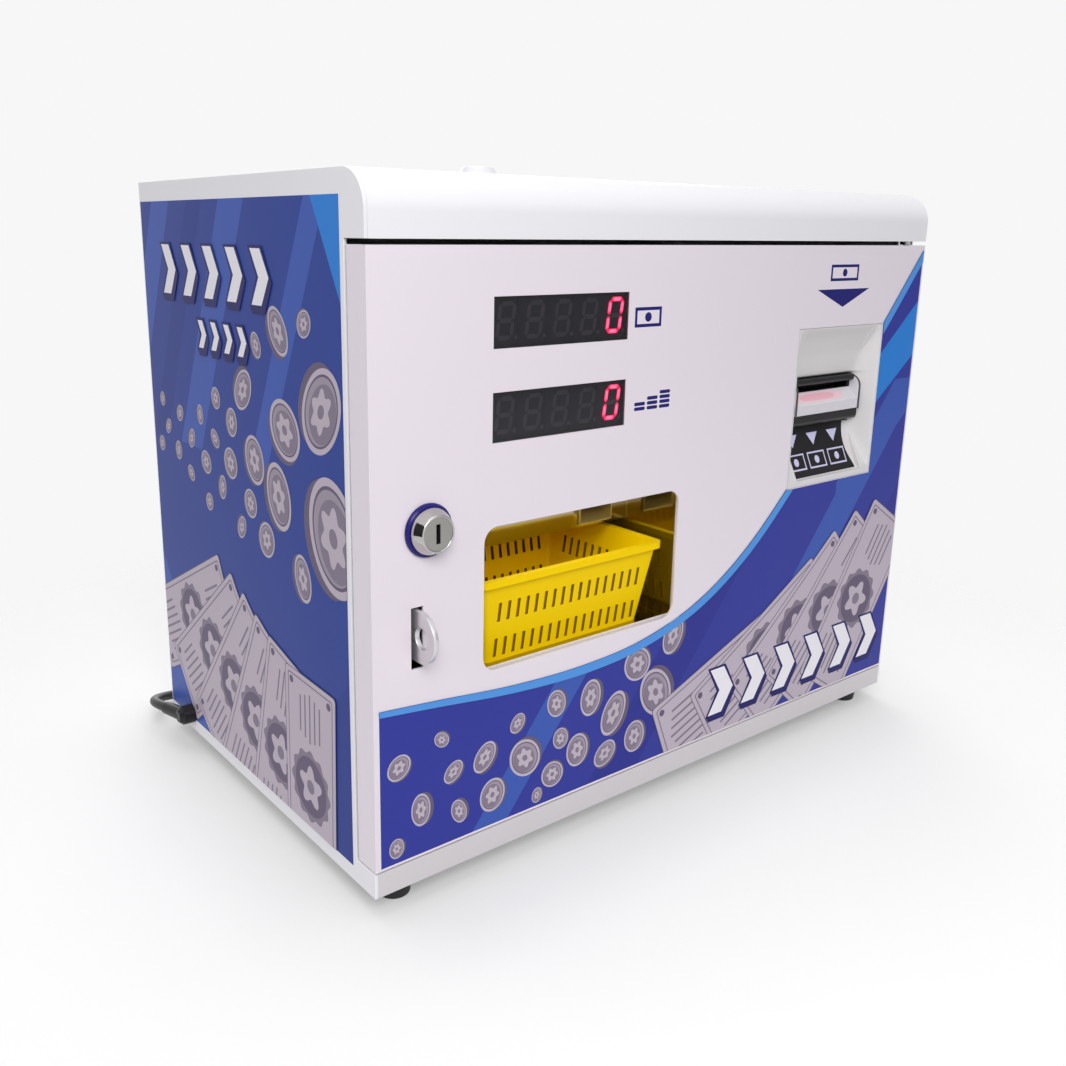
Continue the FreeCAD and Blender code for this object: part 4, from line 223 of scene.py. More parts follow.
EDGES = {
    0.12: of_displays("lens"),
    0.2: of_locks("plug"),
    0.3: ["rear_panel", *of_locks("body")],
    0.4: ["acceptor_bezel"],
    0.5: ["top_cover", "side_panel_left", "side_panel_right", "base_tray", "hasp_bracket"],
    0.6: ["coin_basket", "refill_hatch", "hopper_bowl"],
    0.8: ["acceptor_mouth", "mains_plug", "rubber_feet"],
    0.9: ["door_panel"],
    1.5: ["cash_cassette", "acceptor_head"],
}
EDGE_RADIUS = {name: radius for radius, names in EDGES.items() for name in names}
USUAL_EDGE = 0.25
FLAT_SHEETS = ("door_panel", "top_cover", "side_panel_left", "side_panel_right", "base_tray",
               "rear_panel", "refill_hatch", "coin_bay", "bay_frame")


def add_bevel(thing, radius):
    bevel = thing.modifiers.new("Rounded edges", "BEVEL")
    bevel.width = radius * MM
    bevel.segments = 2
    bevel.limit_method = "ANGLE"
    bevel.angle_limit = math.radians(38)
    return bevel


def soften(thing, radius):
    """Round the sharp edges a little and shade the rest smoothly."""
    weld = thing.modifiers.new("Join split corners", "WELD")
    weld.merge_threshold = 1e-6
    if thing.name in FLAT_SHEETS:
        merge = thing.modifiers.new("One face for each flat", "DECIMATE")
        merge.decimate_type = "DISSOLVE"
        merge.angle_limit = math.radians(0.6)
    add_bevel(thing, radius).miter_outer = "MITER_ARC"
    for face in thing.data.polygons:
        face.use_smooth = True
    normals = thing.modifiers.new("Flat faces stay flat", "WEIGHTED_NORMAL")
    normals.keep_sharp = True
    normals.weight = 80


def finish_nodes():
    """Finish and edges of every piece of the frame."""
    for finish, names in FINISHES.items():
        for name in names:
            node = NODES[name]
            node.data.materials.clear()
            node.data.materials.append(finish)
            soften(node, EDGE_RADIUS.get(name, USUAL_EDGE))


def paint_slot_shade():
    """Darker yellow on the walls of the basket's slots, which lie in the wall's thickness: painted
    shade.
    """
    low, high = box("coin_basket")
    data = NODES["coin_basket"].data
    data.materials.append(YELLOW_PAINTED_SHADE)
    wall, sole, rim = 12 * MM, 2.4 * MM, 5 * MM
    for face in data.polygons:
        centre = face_centre(data, face)
        across = abs(face.normal.x) > 0.9 and low.x + wall < centre.x < high.x - wall
        along = abs(face.normal.y) > 0.9 and low.y + wall < centre.y < high.y - wall
        level = abs(face.normal.z) > 0.9 and low.z + sole < centre.z < high.z - rim
        if across or along or level:
            face.material_index = 1


def paint_board():
    """Own finishes for the blocks on the control board, by their place on it."""
    low, high = box("control_board")
    data = NODES["control_board"].data
    # Shares of the board's width and height: left, right, bottom, top.
    kinds = [(0.05, 0.36, 0.5, 0.95, BLACK), (0.38, 0.58, 0.5, 0.9, RELAY_BLUE),
             (0.38, 0.64, 0.18, 0.5, BLACK), (0.05, 0.5, 0.04, 0.17, CONNECTOR),
             (0.66, 0.95, 0.04, 0.2, CONNECTOR), (0.6, 1.0, 0.6, 0.95, CAPACITOR)]
    finishes = [BLACK, RELAY_BLUE, CONNECTOR, CAPACITOR]
    for finish in finishes:
        data.materials.append(finish)
    plate_front = high.y - (BOARD_THICKNESS + 0.05) * MM
    for face in data.polygons:
        centre = face_centre(data, face)
        across = (centre.x - low.x) / (high.x - low.x)
        up = (centre.z - low.z) / (high.z - low.z)
        for left, right, bottom, top, finish in kinds:
            if centre.y < plate_front and left < across < right and bottom < up < top:
                face.material_index = 1 + finishes.index(finish)


def face_centre(data, face):
    return sum((data.vertices[index].co for index in face.vertices), Vector()) / len(face.vertices)


# -------- making meshes

def new_object(name, data, body, finish):
    made = bpy.data.objects.new(name.replace(" ", "_"), data)
    bpy.context.scene.collection.objects.link(made)
    data.materials.append(finish)
    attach(made, body)
    return made


def mesh_from(name, corners, faces, body, finish, smooth=False):
    data = bpy.data.meshes.new(name)
    data.from_pydata([tuple(c) for c in corners], [], faces)
    for face in data.polygons:
        face.use_smooth = smooth
    data.update()
    return new_object(name, data, body, finish)


def add_face(corners, faces, points):
    """One face with corners of its own."""
    first = len(corners)
    corners.extend(points)
    faces.append(tuple(range(first, len(corners))))


def add_prism(corners, faces, outline, low_x, high_x):
    """Closed solid between two x, from an outline of (y, z)."""
    first, count = len(corners), len(outline)
    for x in (low_x, high_x):
        corners.extend(at(x, y, z) for y, z in outline)
    faces.append(tuple(range(first, first + count)))
    faces.append(tuple(range(first + 2 * count - 1, first + count - 1, -1)))
    for i in range(count):
        j = (i + 1) % count
        faces.append((first + j, first + i, first + count + i, first + count + j))


def add_tube_faces(faces, a, b):
    """Faces between the square of corners that starts at a and the one at b."""
    for side in range(4):
        after = (side + 1) % 4
        faces.append((a + side, a + after, b + after, b + side))


# -------- printed films

def part_inside(points, depth):
    """Part of a convex outline, maybe none, where depth(point) is not negative."""
    kept = []
    for a, b in zip(points, points[1:] + points[:1]):
        da, db = depth(a), depth(b)
        if da >= 0:
            kept.append(a)
        if (da >= 0) != (db >= 0):
            share = da / (da - db)
            kept.append((a[0] + (b[0] - a[0]) * share, a[1] + (b[1] - a[1]) * share))
    return kept


def area(points):
    return sum(a[0] * b[1] - b[0] * a[1] for a, b in zip(points, points[1:] + points[:1])) / 2


class Film:
    """Thin print on a surface, in the surface's own u, v millimetres.

    Shapes are cut into triangles, and these are clipped to the film's rectangles, to its upper
    edge and into level bands where the surface is curved. Each layer lies a little above the one
    before.
    """

    LIFT = 0.04
    STEP = 0.008
    COLUMN = 4.0
    LEAST_AREA = 1e-4

    def __init__(self, name, to_row, regions, body, slot, upper_edge=None, band=None):
        self.name = name
        self.to_row = to_row
        self.regions = regions
        self.upper_edge = upper_edge
        self.band = band
        self.body = body
        self.slot = slot
        self.layer = 0
        self.inks = {}

    def draw(self, ink, *loops):
        """Fill the first loop, leaving out the loops after it."""
        points = [point for loop in loops for point in loop]
        outlines = [[Vector((u, v, 0)) for u, v in loop] for loop in loops]
        for triangle in tessellate_polygon(outlines):
            self.keep(ink, [points[i] for i in triangle])

    def keep(self, ink, points):
        """Clip one convex outline and store what is left."""
        store = self.inks.setdefault(ink, [])
        for low_u, high_u, low_v, high_v in self.regions:
            piece = points
            for depth in (lambda p: p[0] - low_u, lambda p: high_u - p[0],
                          lambda p: p[1] - low_v, lambda p: high_v - p[1]):
                piece = part_inside(piece, depth)
            for part in self.slices(piece):
                if len(part) > 2 and abs(area(part)) > self.LEAST_AREA:
                    store.append((self.layer, part))

    def slices(self, piece):
        """The piece cut to the upper edge in narrow columns, or into level bands."""
        if len(piece) < 3:
            return []
        if self.band:
            return self.level_bands(piece)
        if self.upper_edge is None:
            return [piece]
        low, high = min(p[0] for p in piece), max(p[0] for p in piece)
        first, last = math.floor(low / self.COLUMN), math.ceil(high / self.COLUMN)
        stops = [i * self.COLUMN for i in range(first, last + 1)]
        if max(p[1] for p in piece) < min(self.upper_edge(u) for u in stops):
            return [piece]
        parts = []
        for left, right in zip(stops, stops[1:]):
            start, finish = self.upper_edge(left), self.upper_edge(right)
            rise = (finish - start) / (right - left)
            part = part_inside(piece, lambda p: p[0] - left)
            part = part_inside(part, lambda p: right - p[0])
            parts.append(part_inside(part, lambda p: start + rise * (p[0] - left) - p[1]))
        return parts

    def level_bands(self, piece):
        low, high = min(p[1] for p in piece), max(p[1] for p in piece)
        parts = []
        for i in range(math.floor(low / self.band), math.ceil(high / self.band)):
            part = part_inside(piece, lambda p: p[1] - i * self.band)
            parts.append(part_inside(part, lambda p: (i + 1) * self.band - p[1]))
        return parts

    def lay(self):
        for ink, shapes in self.inks.items():
            corners, faces = [], []
            for layer, outline in shapes:
                lift = self.LIFT + self.STEP * layer
                add_face(corners, faces, [self.to_row(u, v, lift) for u, v in outline])
            if faces:
                mesh_from(f"{self.name} {ink.name}", corners, faces, self.body, ink)


def turned(points, centre, angle, squash=1.0):
    """Points about the origin, flattened across, turned and moved to a centre."""
    cosine, sine = math.cos(angle), math.sin(angle)
    return [(centre[0] + u * cosine * squash - v * sine, centre[1] + u * sine * squash + v * cosine)
            for u, v in points]


def round_points(radius, count=28, wave=0.0, waves=0):
    points = []
    for i in range(count):
        turn = math.tau * i / count
        reach = radius * (1 + wave * math.cos(waves * turn))
        points.append((reach * math.cos(turn), reach * math.sin(turn)))
    return points


def rounded_rectangle(width, height, radius):
    points, steps = [], 4
    for quarter, (su, sv) in enumerate(((1, 1), (-1, 1), (-1, -1), (1, -1))):
        cu, cv = su * (width / 2 - radius), sv * (height / 2 - radius)
        for i in range(steps + 1):
            angle = math.pi / 2 * (quarter + i / steps)
            points.append((cu + radius * math.cos(angle), cv + radius * math.sin(angle)))
    return points


def bar(u, v, width, height):
    return [(u - width / 2, v - height / 2), (u + width / 2, v - height / 2),
            (u + width / 2, v + height / 2), (u - width / 2, v + height / 2)]


def ink(name, colour):
    """Colour of a printed film."""
    return material(f"Ink {name}", colour, 0.38, Specular_IOR_Level=0.12)


INK_BLUE = ink("blue", "353C98")
INK_DEEP = ink("deep blue", "30358F")
SIDE_BLUE = ink("side blue", "2C4294")
SIDE_DEEP = ink("side deep blue", "263B8C")
INK_STRIPE = ink("stripe", "3F5BB0")
INK_BRIGHT = ink("bright blue", "2E80D4")
INK_SKY = ink("sky blue", "5496E0")
INK_SHADOW = ink("shadow", "201F63")
INK_LABEL = ink("label", "252570")
INK_MAUVE = ink("mauve", "A095A4")
INK_MAUVE_DARK = ink("dark mauve", "675C74")
INK_MAUVE_MID = ink("mid mauve", "857A8C")
INK_MAUVE_LIGHT = ink("light mauve", "BFB4C1")
INK_WHITE = ink("white", "EFECF3")


TOKEN_LAYERS = 7


def token(film, centre, radius, angle, squash):
    """Round counter seen at a slant: its edge, a rim, a shaded field and a rosette."""
    base = film.layer
    fine = 40 if radius > 11 else 26
    depth = radius * 0.3 * math.sqrt(max(0.0, 1 - squash * squash))
    edge = (depth * math.cos(angle), depth * math.sin(angle))

    def shape(reach, count=fine, shift=(0.0, 0.0), **wave):
        middle = (centre[0] + shift[0] * radius, centre[1] + shift[1] * radius)
        return turned(round_points(reach * radius, count, **wave), middle, angle, squash)

    rim = shape(1.0)
    hull = [(u + edge[0], v + edge[1]) if math.cos(math.tau * i / fine) > 0 else (u, v)
            for i, (u, v) in enumerate(rim)]
    film.draw(INK_MAUVE_DARK, hull)
    pieces = [(INK_MAUVE_LIGHT, rim), (INK_MAUVE_DARK, shape(0.86)), (INK_MAUVE, shape(0.8)),
              (INK_MAUVE_MID, shape(0.7, shift=(-0.06, -0.05))),
              (INK_MAUVE_LIGHT, shape(0.46, 42, wave=0.2, waves=6)),
              (INK_MAUVE_MID, shape(0.17, 14))]
    for step, (shade, points) in enumerate(pieces):
        film.layer = base + 1 + step
        film.draw(shade, points)
    film.layer = base


TICKET_LAYERS = 7


def ticket(film, centre, width, height, angle):
    """Long plain ticket with a border, a scalloped badge and rows of fine bars."""
    base = film.layer

    def put(shade, points, layer, *holes):
        film.layer = base + layer
        film.draw(shade, turned(points, centre, angle),
                  *[turned(hole, centre, angle) for hole in holes])

    put(INK_MAUVE_DARK, rounded_rectangle(width, height, 3), 0)
    put(INK_MAUVE_LIGHT, rounded_rectangle(width - 1.2, height - 1.2, 2.6), 1)
    put(INK_MAUVE_MID, rounded_rectangle(width - 7, height - 7, 2), 2,
        rounded_rectangle(width - 9, height - 9, 1.5)[::-1])
    badge, row_pitch, row_height = height * 0.37, height * 0.095, height * 0.028
    put(INK_MAUVE_MID, round_points(badge, 72, 0.06, 12), 3)
    put(INK_MAUVE_DARK, round_points(badge * 0.84, 40), 4)
    put(INK_MAUVE_LIGHT, round_points(badge * 0.5, 60, 0.24, 5), 5)
    put(INK_MAUVE_MID, round_points(badge * 0.2, 20), 6)
    inset = 8
    for side in (-1, 1):
        middle = side * (width / 4 + badge / 2 - 2)
        reach = width / 2 - badge - 14
        for step in range(-3, 4):
            if abs(step) == 3 and side > 0:
                continue
            length = reach * (0.95 - 0.12 * abs(step))
            put(INK_MAUVE_MID, bar(middle, step * row_pitch, length, row_height), 2)
        for rise in (-1, 1):
            corner_u, corner_v = side * (width / 2 - inset), rise * (height / 2 - inset)
            dot = [(corner_u + u, corner_v + v) for u, v in round_points(2.4, 12)]
            put(INK_MAUVE_DARK, dot, 3)
    film.layer = base


def chevron_points(reach, weight):
    """Arrow head that points along +u, reach high on each side of its middle."""
    back, front = -reach * 0.5, reach * 0.5
    return [(back, -reach), (back + weight, -reach), (front + weight * 0.55, 0),
            (back + weight, reach), (back, reach), (front - weight * 0.45, 0)]


CHEVRON_LAYERS = 4


def chevron_row(film, start, count, pitch, reach, weight, way=1):
    """Level row of bold arrow heads with a dark edge and a drop shadow."""
    base = film.layer
    grow = 2.6
    shadows = ((2.2, -3.2), (1.1, -1.6), (0, 0))
    turn = 0.0 if way > 0 else math.pi
    dark = [(u - grow * 0.7, v)
            for u, v in chevron_points(reach + grow * 0.6, weight + grow * 1.5)]
    for i in range(count):
        u, v = start[0] + way * pitch * i, start[1]
        for layer, (right, up) in enumerate(shadows):
            film.layer = base + layer
            film.draw(INK_SHADOW, turned(dark, (u + right * way, v + up), turn))
        film.layer = base + len(shadows)
        film.draw(INK_WHITE, turned(chevron_points(reach, weight), (u, v), turn))
    film.layer = base


def spread_tokens(film, spots, seed, lean):
    """Tokens from small to large, each on layers above the ones that it overlaps."""
    chooser = random.Random(seed)
    laid = []
    start = film.layer
    for u, v, radius in sorted(spots, key=lambda spot: spot[2]):
        under = [level for a, b, reach, level in laid
                 if math.hypot(u - a, v - b) < (radius + reach) * 1.3]
        level = max(under) + 1 if under else 0
        laid.append((u, v, radius, level))
        film.layer = start + level * TOKEN_LAYERS
        token(film, (u, v), radius, chooser.uniform(-lean, lean), chooser.uniform(0.62, 0.92))
    film.layer = start + (max(level for *_, level in laid) + 1) * TOKEN_LAYERS


def side_print():
    """Blue film on the left wall; u runs back and v runs up."""
    front, back, bottom, top = 23.0, 288.5, 9.0, 370.5
    film = Film("Side print", lambda u, v, lift: at(-lift, u, v), [(front, back, bottom, top)],
                "cabinet", "door_paint")
    past_back, past_top = back + 0.5, top + 0.5
    film.draw(SIDE_BLUE, bar(156, 190, 400, 500))
    film.layer = 1
    for u, wide, shade in ((128, 34, INK_STRIPE), (186, 24, SIDE_DEEP), (36, 22, INK_STRIPE),
                           (238, 30, INK_STRIPE)):
        film.draw(shade, [(u, past_top), (u + wide, past_top), (u + wide + 78, 215), (u + 78, 215)])
    film.draw(SIDE_DEEP, [(front, bottom), (front, 118), (132, bottom)])
    film.layer = 2
    film.draw(INK_BRIGHT, [(front, 318), (front, past_top), (52, past_top)])
    film.draw(INK_STRIPE, [(past_back, bottom), (past_back, 128), (206, bottom)])
    film.layer = 3
    spots = [(46, 262, 25), (36, 196, 33), (92, 300, 15), (88, 246, 19), (128, 222, 15),
             (98, 206, 20), (140, 262, 14), (72, 164, 14), (116, 176, 11), (136, 194, 9),
             (158, 240, 9), (162, 214, 10), (150, 176, 8), (176, 196, 8), (184, 226, 7),
             (180, 252, 7), (200, 208, 8), (206, 238, 6.5), (198, 182, 6), (222, 220, 7),
             (226, 196, 6), (240, 234, 6), (246, 208, 6.5), (262, 222, 6), (270, 240, 5),
             (276, 208, 5.5), (120, 290, 8), (62, 306, 8)]
    spread_tokens(film, spots, 5, 0.9)
    fan = [(238, 92, 26), (206, 76, 38), (174, 62, 50), (142, 50, 62), (108, 42, 75), (70, 36, 88)]
    for u, v, lean in fan:
        ticket(film, (u, v), 138, 60, math.radians(180 - lean))
        film.layer += TICKET_LAYERS
    chevron_row(film, (246, 328), 5, 33, 15.5, 12.5, way=-1)
    chevron_row(film, (196, 290), 4, 19, 8.5, 7, way=-1)
    film.lay()


EDGE_KNOTS = [(-20, 112), (40, 106.5), (95, 101), (150, 99.5), (200, 104), (250, 119),
              (295, 146), (337, 184), (385, 237), (433, 291), (480, 346.5), (520, 392)]


def print_edge(u):
    """Height of the door print's upper edge, a smooth sweep through its knots."""
    u = min(max(u, EDGE_KNOTS[0][0]), EDGE_KNOTS[-1][0])
    for i in range(len(EDGE_KNOTS) - 1):
        if u <= EDGE_KNOTS[i + 1][0]:
            break
    before, after = EDGE_KNOTS[max(i - 1, 0)], EDGE_KNOTS[min(i + 2, len(EDGE_KNOTS) - 1)]
    start, finish = EDGE_KNOTS[i], EDGE_KNOTS[i + 1]
    run = finish[0] - start[0]
    t = (u - start[0]) / run
    slope_in = (finish[1] - before[1]) / (finish[0] - before[0]) * run
    slope_out = (after[1] - start[1]) / (after[0] - start[0]) * run
    return ((2 * t ** 3 - 3 * t ** 2 + 1) * start[1] + (t ** 3 - 2 * t ** 2 + t) * slope_in
            + (3 * t ** 2 - 2 * t ** 3) * finish[1] + (t ** 3 - t ** 2) * slope_out)


def door_print():
    """Blue film on the lower right of the door; u runs right and v runs up."""
    left, right, bottom, top = 4.0, 477.8, 17.0, 345.8
    hole_left, hole_right, hole_bottom, hole_top = 336.0, 434.9, 181.6, 292.9
    film = Film("Door print", lambda u, v, lift: at(u, -lift, v),
                [(left, hole_left, bottom, top), (hole_right, right, bottom, top),
                 (hole_left, hole_right, bottom, hole_bottom),
                 (hole_left, hole_right, hole_top, top)],
                "door", "door_paint", upper_edge=print_edge)
    film.draw(INK_BLUE, bar(240, 180, 500, 400))
    film.layer = 1
    for u, wide, shade in ((60, 26, INK_STRIPE), (150, 44, INK_DEEP), (268, 36, INK_STRIPE),
                           (352, 20, INK_DEEP)):
        film.draw(shade, [(u, 10), (u + wide, 10), (u + wide + 190, 250), (u + 190, 250)])
    film.layer = 2
    film.draw(INK_BRIGHT, [(395, 204), (395, 236), (480, 309), (480, 269)])
    film.draw(INK_STRIPE, [(395, 156), (395, 180), (480, 254), (480, 226)])
    film.layer = 3
    spots = [(16, 74, 8), (30, 44, 10), (52, 60, 7.5), (56, 34, 8), (74, 62, 10), (80, 36, 10.5),
             (98, 76, 6.5), (104, 52, 13), (126, 34, 9), (128, 80, 9), (132, 56, 7),
             (146, 44, 11), (156, 76, 12), (170, 34, 10), (176, 60, 15), (196, 88, 12),
             (196, 38, 11), (214, 64, 18), (228, 100, 13), (234, 36, 9), (14, 26, 6),
             (44, 82, 5.5), (114, 24, 5)]
    spread_tokens(film, spots, 11, 1.0)
    fan = [(290, 50, 22), (326, 63, 31), (362, 73, 40), (398, 80, 49), (434, 82, 58)]
    for u, v, lean in fan:
        ticket(film, (u, v), 146, 62, math.radians(lean))
        film.layer += TICKET_LAYERS
    chevron_row(film, (276, 48), 6, 35, 17, 14)
    film.layer += CHEVRON_LAYERS
    steps = 118
    stops = [left + (right - left) * i / steps for i in range(steps + 1)]
    for a, b in zip(stops, stops[1:]):
        film.keep(INK_SKY, [(a, print_edge(a) - band_width(a)), (b, print_edge(b) - band_width(b)),
                            (b, print_edge(b) + 1), (a, print_edge(a) + 1)])
    film.lay()
    door_marks()


def band_width(u):
    """Upright width of the light band along the print's edge."""
    slope = print_edge(u + 0.5) - print_edge(u - 0.5)
    return (3.2 + 2.6 * min(1, u / 150)) * math.hypot(1, slope)


def door_marks():
    """Plain pictograms by the displays and above the bill acceptor."""
    film = Film("Door marks", lambda u, v, lift: at(u, -lift, v), [(0.0, 480.0, 16.0, 346.0)],
                "door", "door_paint")
    note_mark(film, (191, 306.5), 22, 11.5, 1.9, INK_LABEL)
    coin = rounded_rectangle(9, 2.1, 0.95)
    for pile, count in enumerate((2, 3, 4)):
        for level in range(count):
            film.draw(INK_LABEL, turned(coin, (187 + 10.6 * pile, 252.8 + 2.9 * level), 0))
    note_mark(film, (382, 329), 32, 11, 1.9, INK_LABEL)
    film.draw(INK_LABEL, [(352.4, 318), (412.6, 318), (382.5, 305.8)])
    film.lay()


def note_mark(film, centre, width, height, line, shade):
    """Outlined oblong with a dot in its middle."""
    film.draw(shade, bar(*centre, width, height),
              bar(*centre, width - 2 * line, height - 2 * line)[::-1])
    film.draw(shade, turned(round_points(height * 0.24, 20), centre, 0))


# -------- seven-segment digits

DIGIT_COUNT = 5
FIRST_DIGIT = 88.4
DIGIT_PITCH = 19.92
DIGIT_LEAN = 0.14
PIN_PITCH = 2.54


def segment_shapes():
    """Outlines of the seven bars of one digit, about its centre."""
    wide, high, thick, gap = 9.6, 18.0, 2.6, 0.3
    half_w, half_h = wide / 2, high / 2
    h = thick / 2

    def level(v):
        a, b = -half_w + gap, half_w - gap
        return [(a, v), (a + h, v + h), (b - h, v + h), (b, v), (b - h, v - h), (a + h, v - h)]

    def upright(u, low, top):
        a, b = low + gap, top - gap
        return [(u, a), (u + h, a + h), (u + h, b - h), (u, b), (u - h, b - h), (u - h, a + h)]

    bars = {
        "top": level(half_h), "middle": level(0), "bottom": level(-half_h),
        "upper_left": upright(-half_w, 0, half_h), "upper_right": upright(half_w, 0, half_h),
        "lower_left": upright(-half_w, -half_h, 0), "lower_right": upright(half_w, -half_h, 0),
    }
    return {name: [(u + v * DIGIT_LEAN, v) for u, v in points] for name, points in bars.items()}


def number_display(name):
    """Five digits on the front of their blocks; the last shows a nought."""
    front_y = (box(f"display_digits_{name}")[0] - CORNER).y / MM - 0.05
    centre_v = DISPLAYS[name]
    shapes = segment_shapes()
    stores = {"unlit": ([], []), "lit": ([], []), "core": ([], [])}

    def add(label, points, centre_u, lift=0.0):
        add_face(*stores[label], [at(centre_u + u, front_y - lift, centre_v + v)
                                  for u, v in points])

    core_width, core_height = 0.66, 0.7
    dot = [(u + 6.9, v - 9.0) for u, v in round_points(1.2, 16)]
    for index in range(DIGIT_COUNT):
        centre_u = FIRST_DIGIT + DIGIT_PITCH * index
        for segment, points in shapes.items():
            is_lit = index == DIGIT_COUNT - 1 and segment != "middle"
            add("lit" if is_lit else "unlit", points, centre_u)
            if is_lit:
                mid_u = sum(u for u, _ in points) / len(points)
                mid_v = sum(v for _, v in points) / len(points)
                core = [(mid_u + (u - mid_u) * core_width, mid_v + (v - mid_v) * core_height)
                        for u, v in points]
                add("core", core, centre_u, lift=0.04)
        add("unlit", dot, centre_u)
    finishes = {"unlit": SEGMENT_OFF, "lit": SEGMENT_LIT, "core": SEGMENT_CORE}
    for label, (corners, faces) in stores.items():
        mesh_from(f"Digits {name} {label}", corners, faces, "door", finishes[label])


def solder_joints(name):
    """Rows of solder joints on the back of a display's board."""
    low, high = ((corner - CORNER) / MM for corner in box(f"display_board_{name}"))
    middle, row_offset = (low.z + high.z) / 2, 7.6
    spots = [(FIRST_DIGIT + DIGIT_PITCH * digit + PIN_PITCH * (pin - 2), middle + row_offset * side)
             for digit in range(DIGIT_COUNT) for pin in range(5) for side in (-1, 1)]
    spots += [(low.x + 3.5, middle + PIN_PITCH * (pin - 2.5)) for pin in range(6)]
    corners, faces = [], []
    for x, z in spots:
        add_face(corners, faces, [at(x + u, high.y + 0.03, z + v)
                                  for u, v in reversed(round_points(0.75, 10))])
    mesh_from(f"Solder joints {name}", corners, faces, "door", SOLDER)


# -------- bill acceptor's front

BEZEL_LEFT, BEZEL_RIGHT, BEZEL_BOTTOM, BEZEL_TOP = 336.75, 434.15, 182.35, 292.15
MOUTH_LEFT, MOUTH_RIGHT, MOUTH_BOTTOM, MOUTH_TOP = 347.7, 423.2, 220.2, 255.9
BEZEL_RIM = 1.2
CHEEK_SLOPE = 17.0 / 9.7
FACE_KNOTS = [(182.0, 0.0), (186.2, 0.0), (186.6, 3.6), (193, 7.0), (200, 10.2), (210, 14.0),
              (220, 17.0), (256, 17.0), (257.2, 13.6), (263, 12.0), (272, 9.6), (280, 6.7),
              (286, 3.6), (291.0, 0.2), (293.0, 0.0)]


def face_depth(z):
    """Depth of the moulded face on its middle line."""
    for (low, start), (high, finish) in zip(FACE_KNOTS, FACE_KNOTS[1:]):
        if z <= high:
            return start + (finish - start) * (z - low) / (high - low)
    return 0.0


def bezel_depth(x, z):
    """Depth of the moulded face, with soft hollows where the cheeks meet it."""
    middle = face_depth(z)
    reach = min(x - BEZEL_LEFT, BEZEL_RIGHT - x) - BEZEL_RIM
    cheek = max(0.0, reach) * CHEEK_SLOPE
    soft = 10.0
    blend = max(soft - abs(middle - cheek), 0.0) / soft
    return max(0.0, min(middle, cheek) - blend * blend * soft / 4)


def grid_places(*stretches):
    """Places along stretches that meet, each given by its start, its end and its step."""
    places = []
    for here, end, step in stretches:
        while here < end - 1e-6:
            places.append(here)
            here = min(here + step, end)
    return places + [end]


def grid_faces(rows, columns):
    """Square faces between the corners of a grid that is written row by row."""
    return [(a, a + 1, a + columns + 2, a + columns + 1)
            for a in (j * (columns + 1) + i for j in range(rows) for i in range(columns))]


def acceptor_skin():
    """Moulded skin in front of the acceptor's surround, with a hole for the mouth."""
    xs = grid_places((BEZEL_LEFT, MOUTH_LEFT, 0.8), (MOUTH_LEFT, 356, 1.5), (356, 415, 8),
                     (415, MOUTH_RIGHT, 1.5), (MOUTH_RIGHT, BEZEL_RIGHT, 0.8))
    zs = grid_places((BEZEL_BOTTOM, 187.4, 0.5), (187.4, MOUTH_BOTTOM, 2.2),
                     (MOUTH_BOTTOM, MOUTH_TOP, 3), (MOUTH_TOP, 259, 0.6), (259, BEZEL_TOP, 1.8))
    corners = [at(x, bezel_depth(x, z) - 0.08, z) for z in zs for x in xs]
    faces = []
    for face in grid_faces(len(zs) - 1, len(xs) - 1):
        row, column = divmod(face[0], len(xs))
        if not (MOUTH_LEFT <= xs[column] < MOUTH_RIGHT and MOUTH_BOTTOM <= zs[row] < MOUTH_TOP):
            faces.append(face)
    mesh_from("Acceptor skin", corners, faces, "door", BEZEL, smooth=True)


CARD_LEFT, CARD_TOP, CARD_HEIGHT = 341.2, 220.6, 33.6


def card_right(z):
    """Right edge of the card, which widens towards its foot."""
    share = (CARD_TOP - z) / CARD_HEIGHT
    return 419.2 - 3.2 * math.sin(math.pi * min(share * 1.1, 1)) + 2.6 * share ** 3


def acceptor_card():
    """Dark card that follows the curved slope, with plain marks on it."""
    def place(x, z, lift):
        return at(x, bezel_depth(x, z) - 0.3 - lift, z)

    rows, columns = 16, 14
    corners = []
    for j in range(rows + 1):
        z = CARD_TOP - CARD_HEIGHT * j / rows
        for i in range(columns + 1):
            corners.append(place(CARD_LEFT + (card_right(z) - CARD_LEFT) * i / columns, z, 0.0))
    faces = grid_faces(rows, columns)
    card = mesh_from("Accepted notes card", corners, faces, "door", CARD, smooth=True)
    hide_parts("accept_card")
    film = Film("Card marks", place, [(342.0, 421.0, 187.0, 220.0)], "door", "card", band=2.0)
    for u in (357, 381, 405):
        film.draw(CARD_MARK, [(u - 6.5, 215.6), (u + 6.5, 215.6), (u, 207)])
        note_mark(film, (u, 197), 20, 11, 1.1, CARD_MARK)
    film.lay()


TRAY_LEFT, TRAY_RIGHT, TRAY_FRONT, TRAY_BACK = 347.8, 423.1, 6.5, 14.6
TRAY_SOLE, TRAY_CROWN, TRAY_CHEEK = 231.0, 254.6, 2.0
SLOPE_FRONT, SLOPE_BACK = 238.0, 246.0


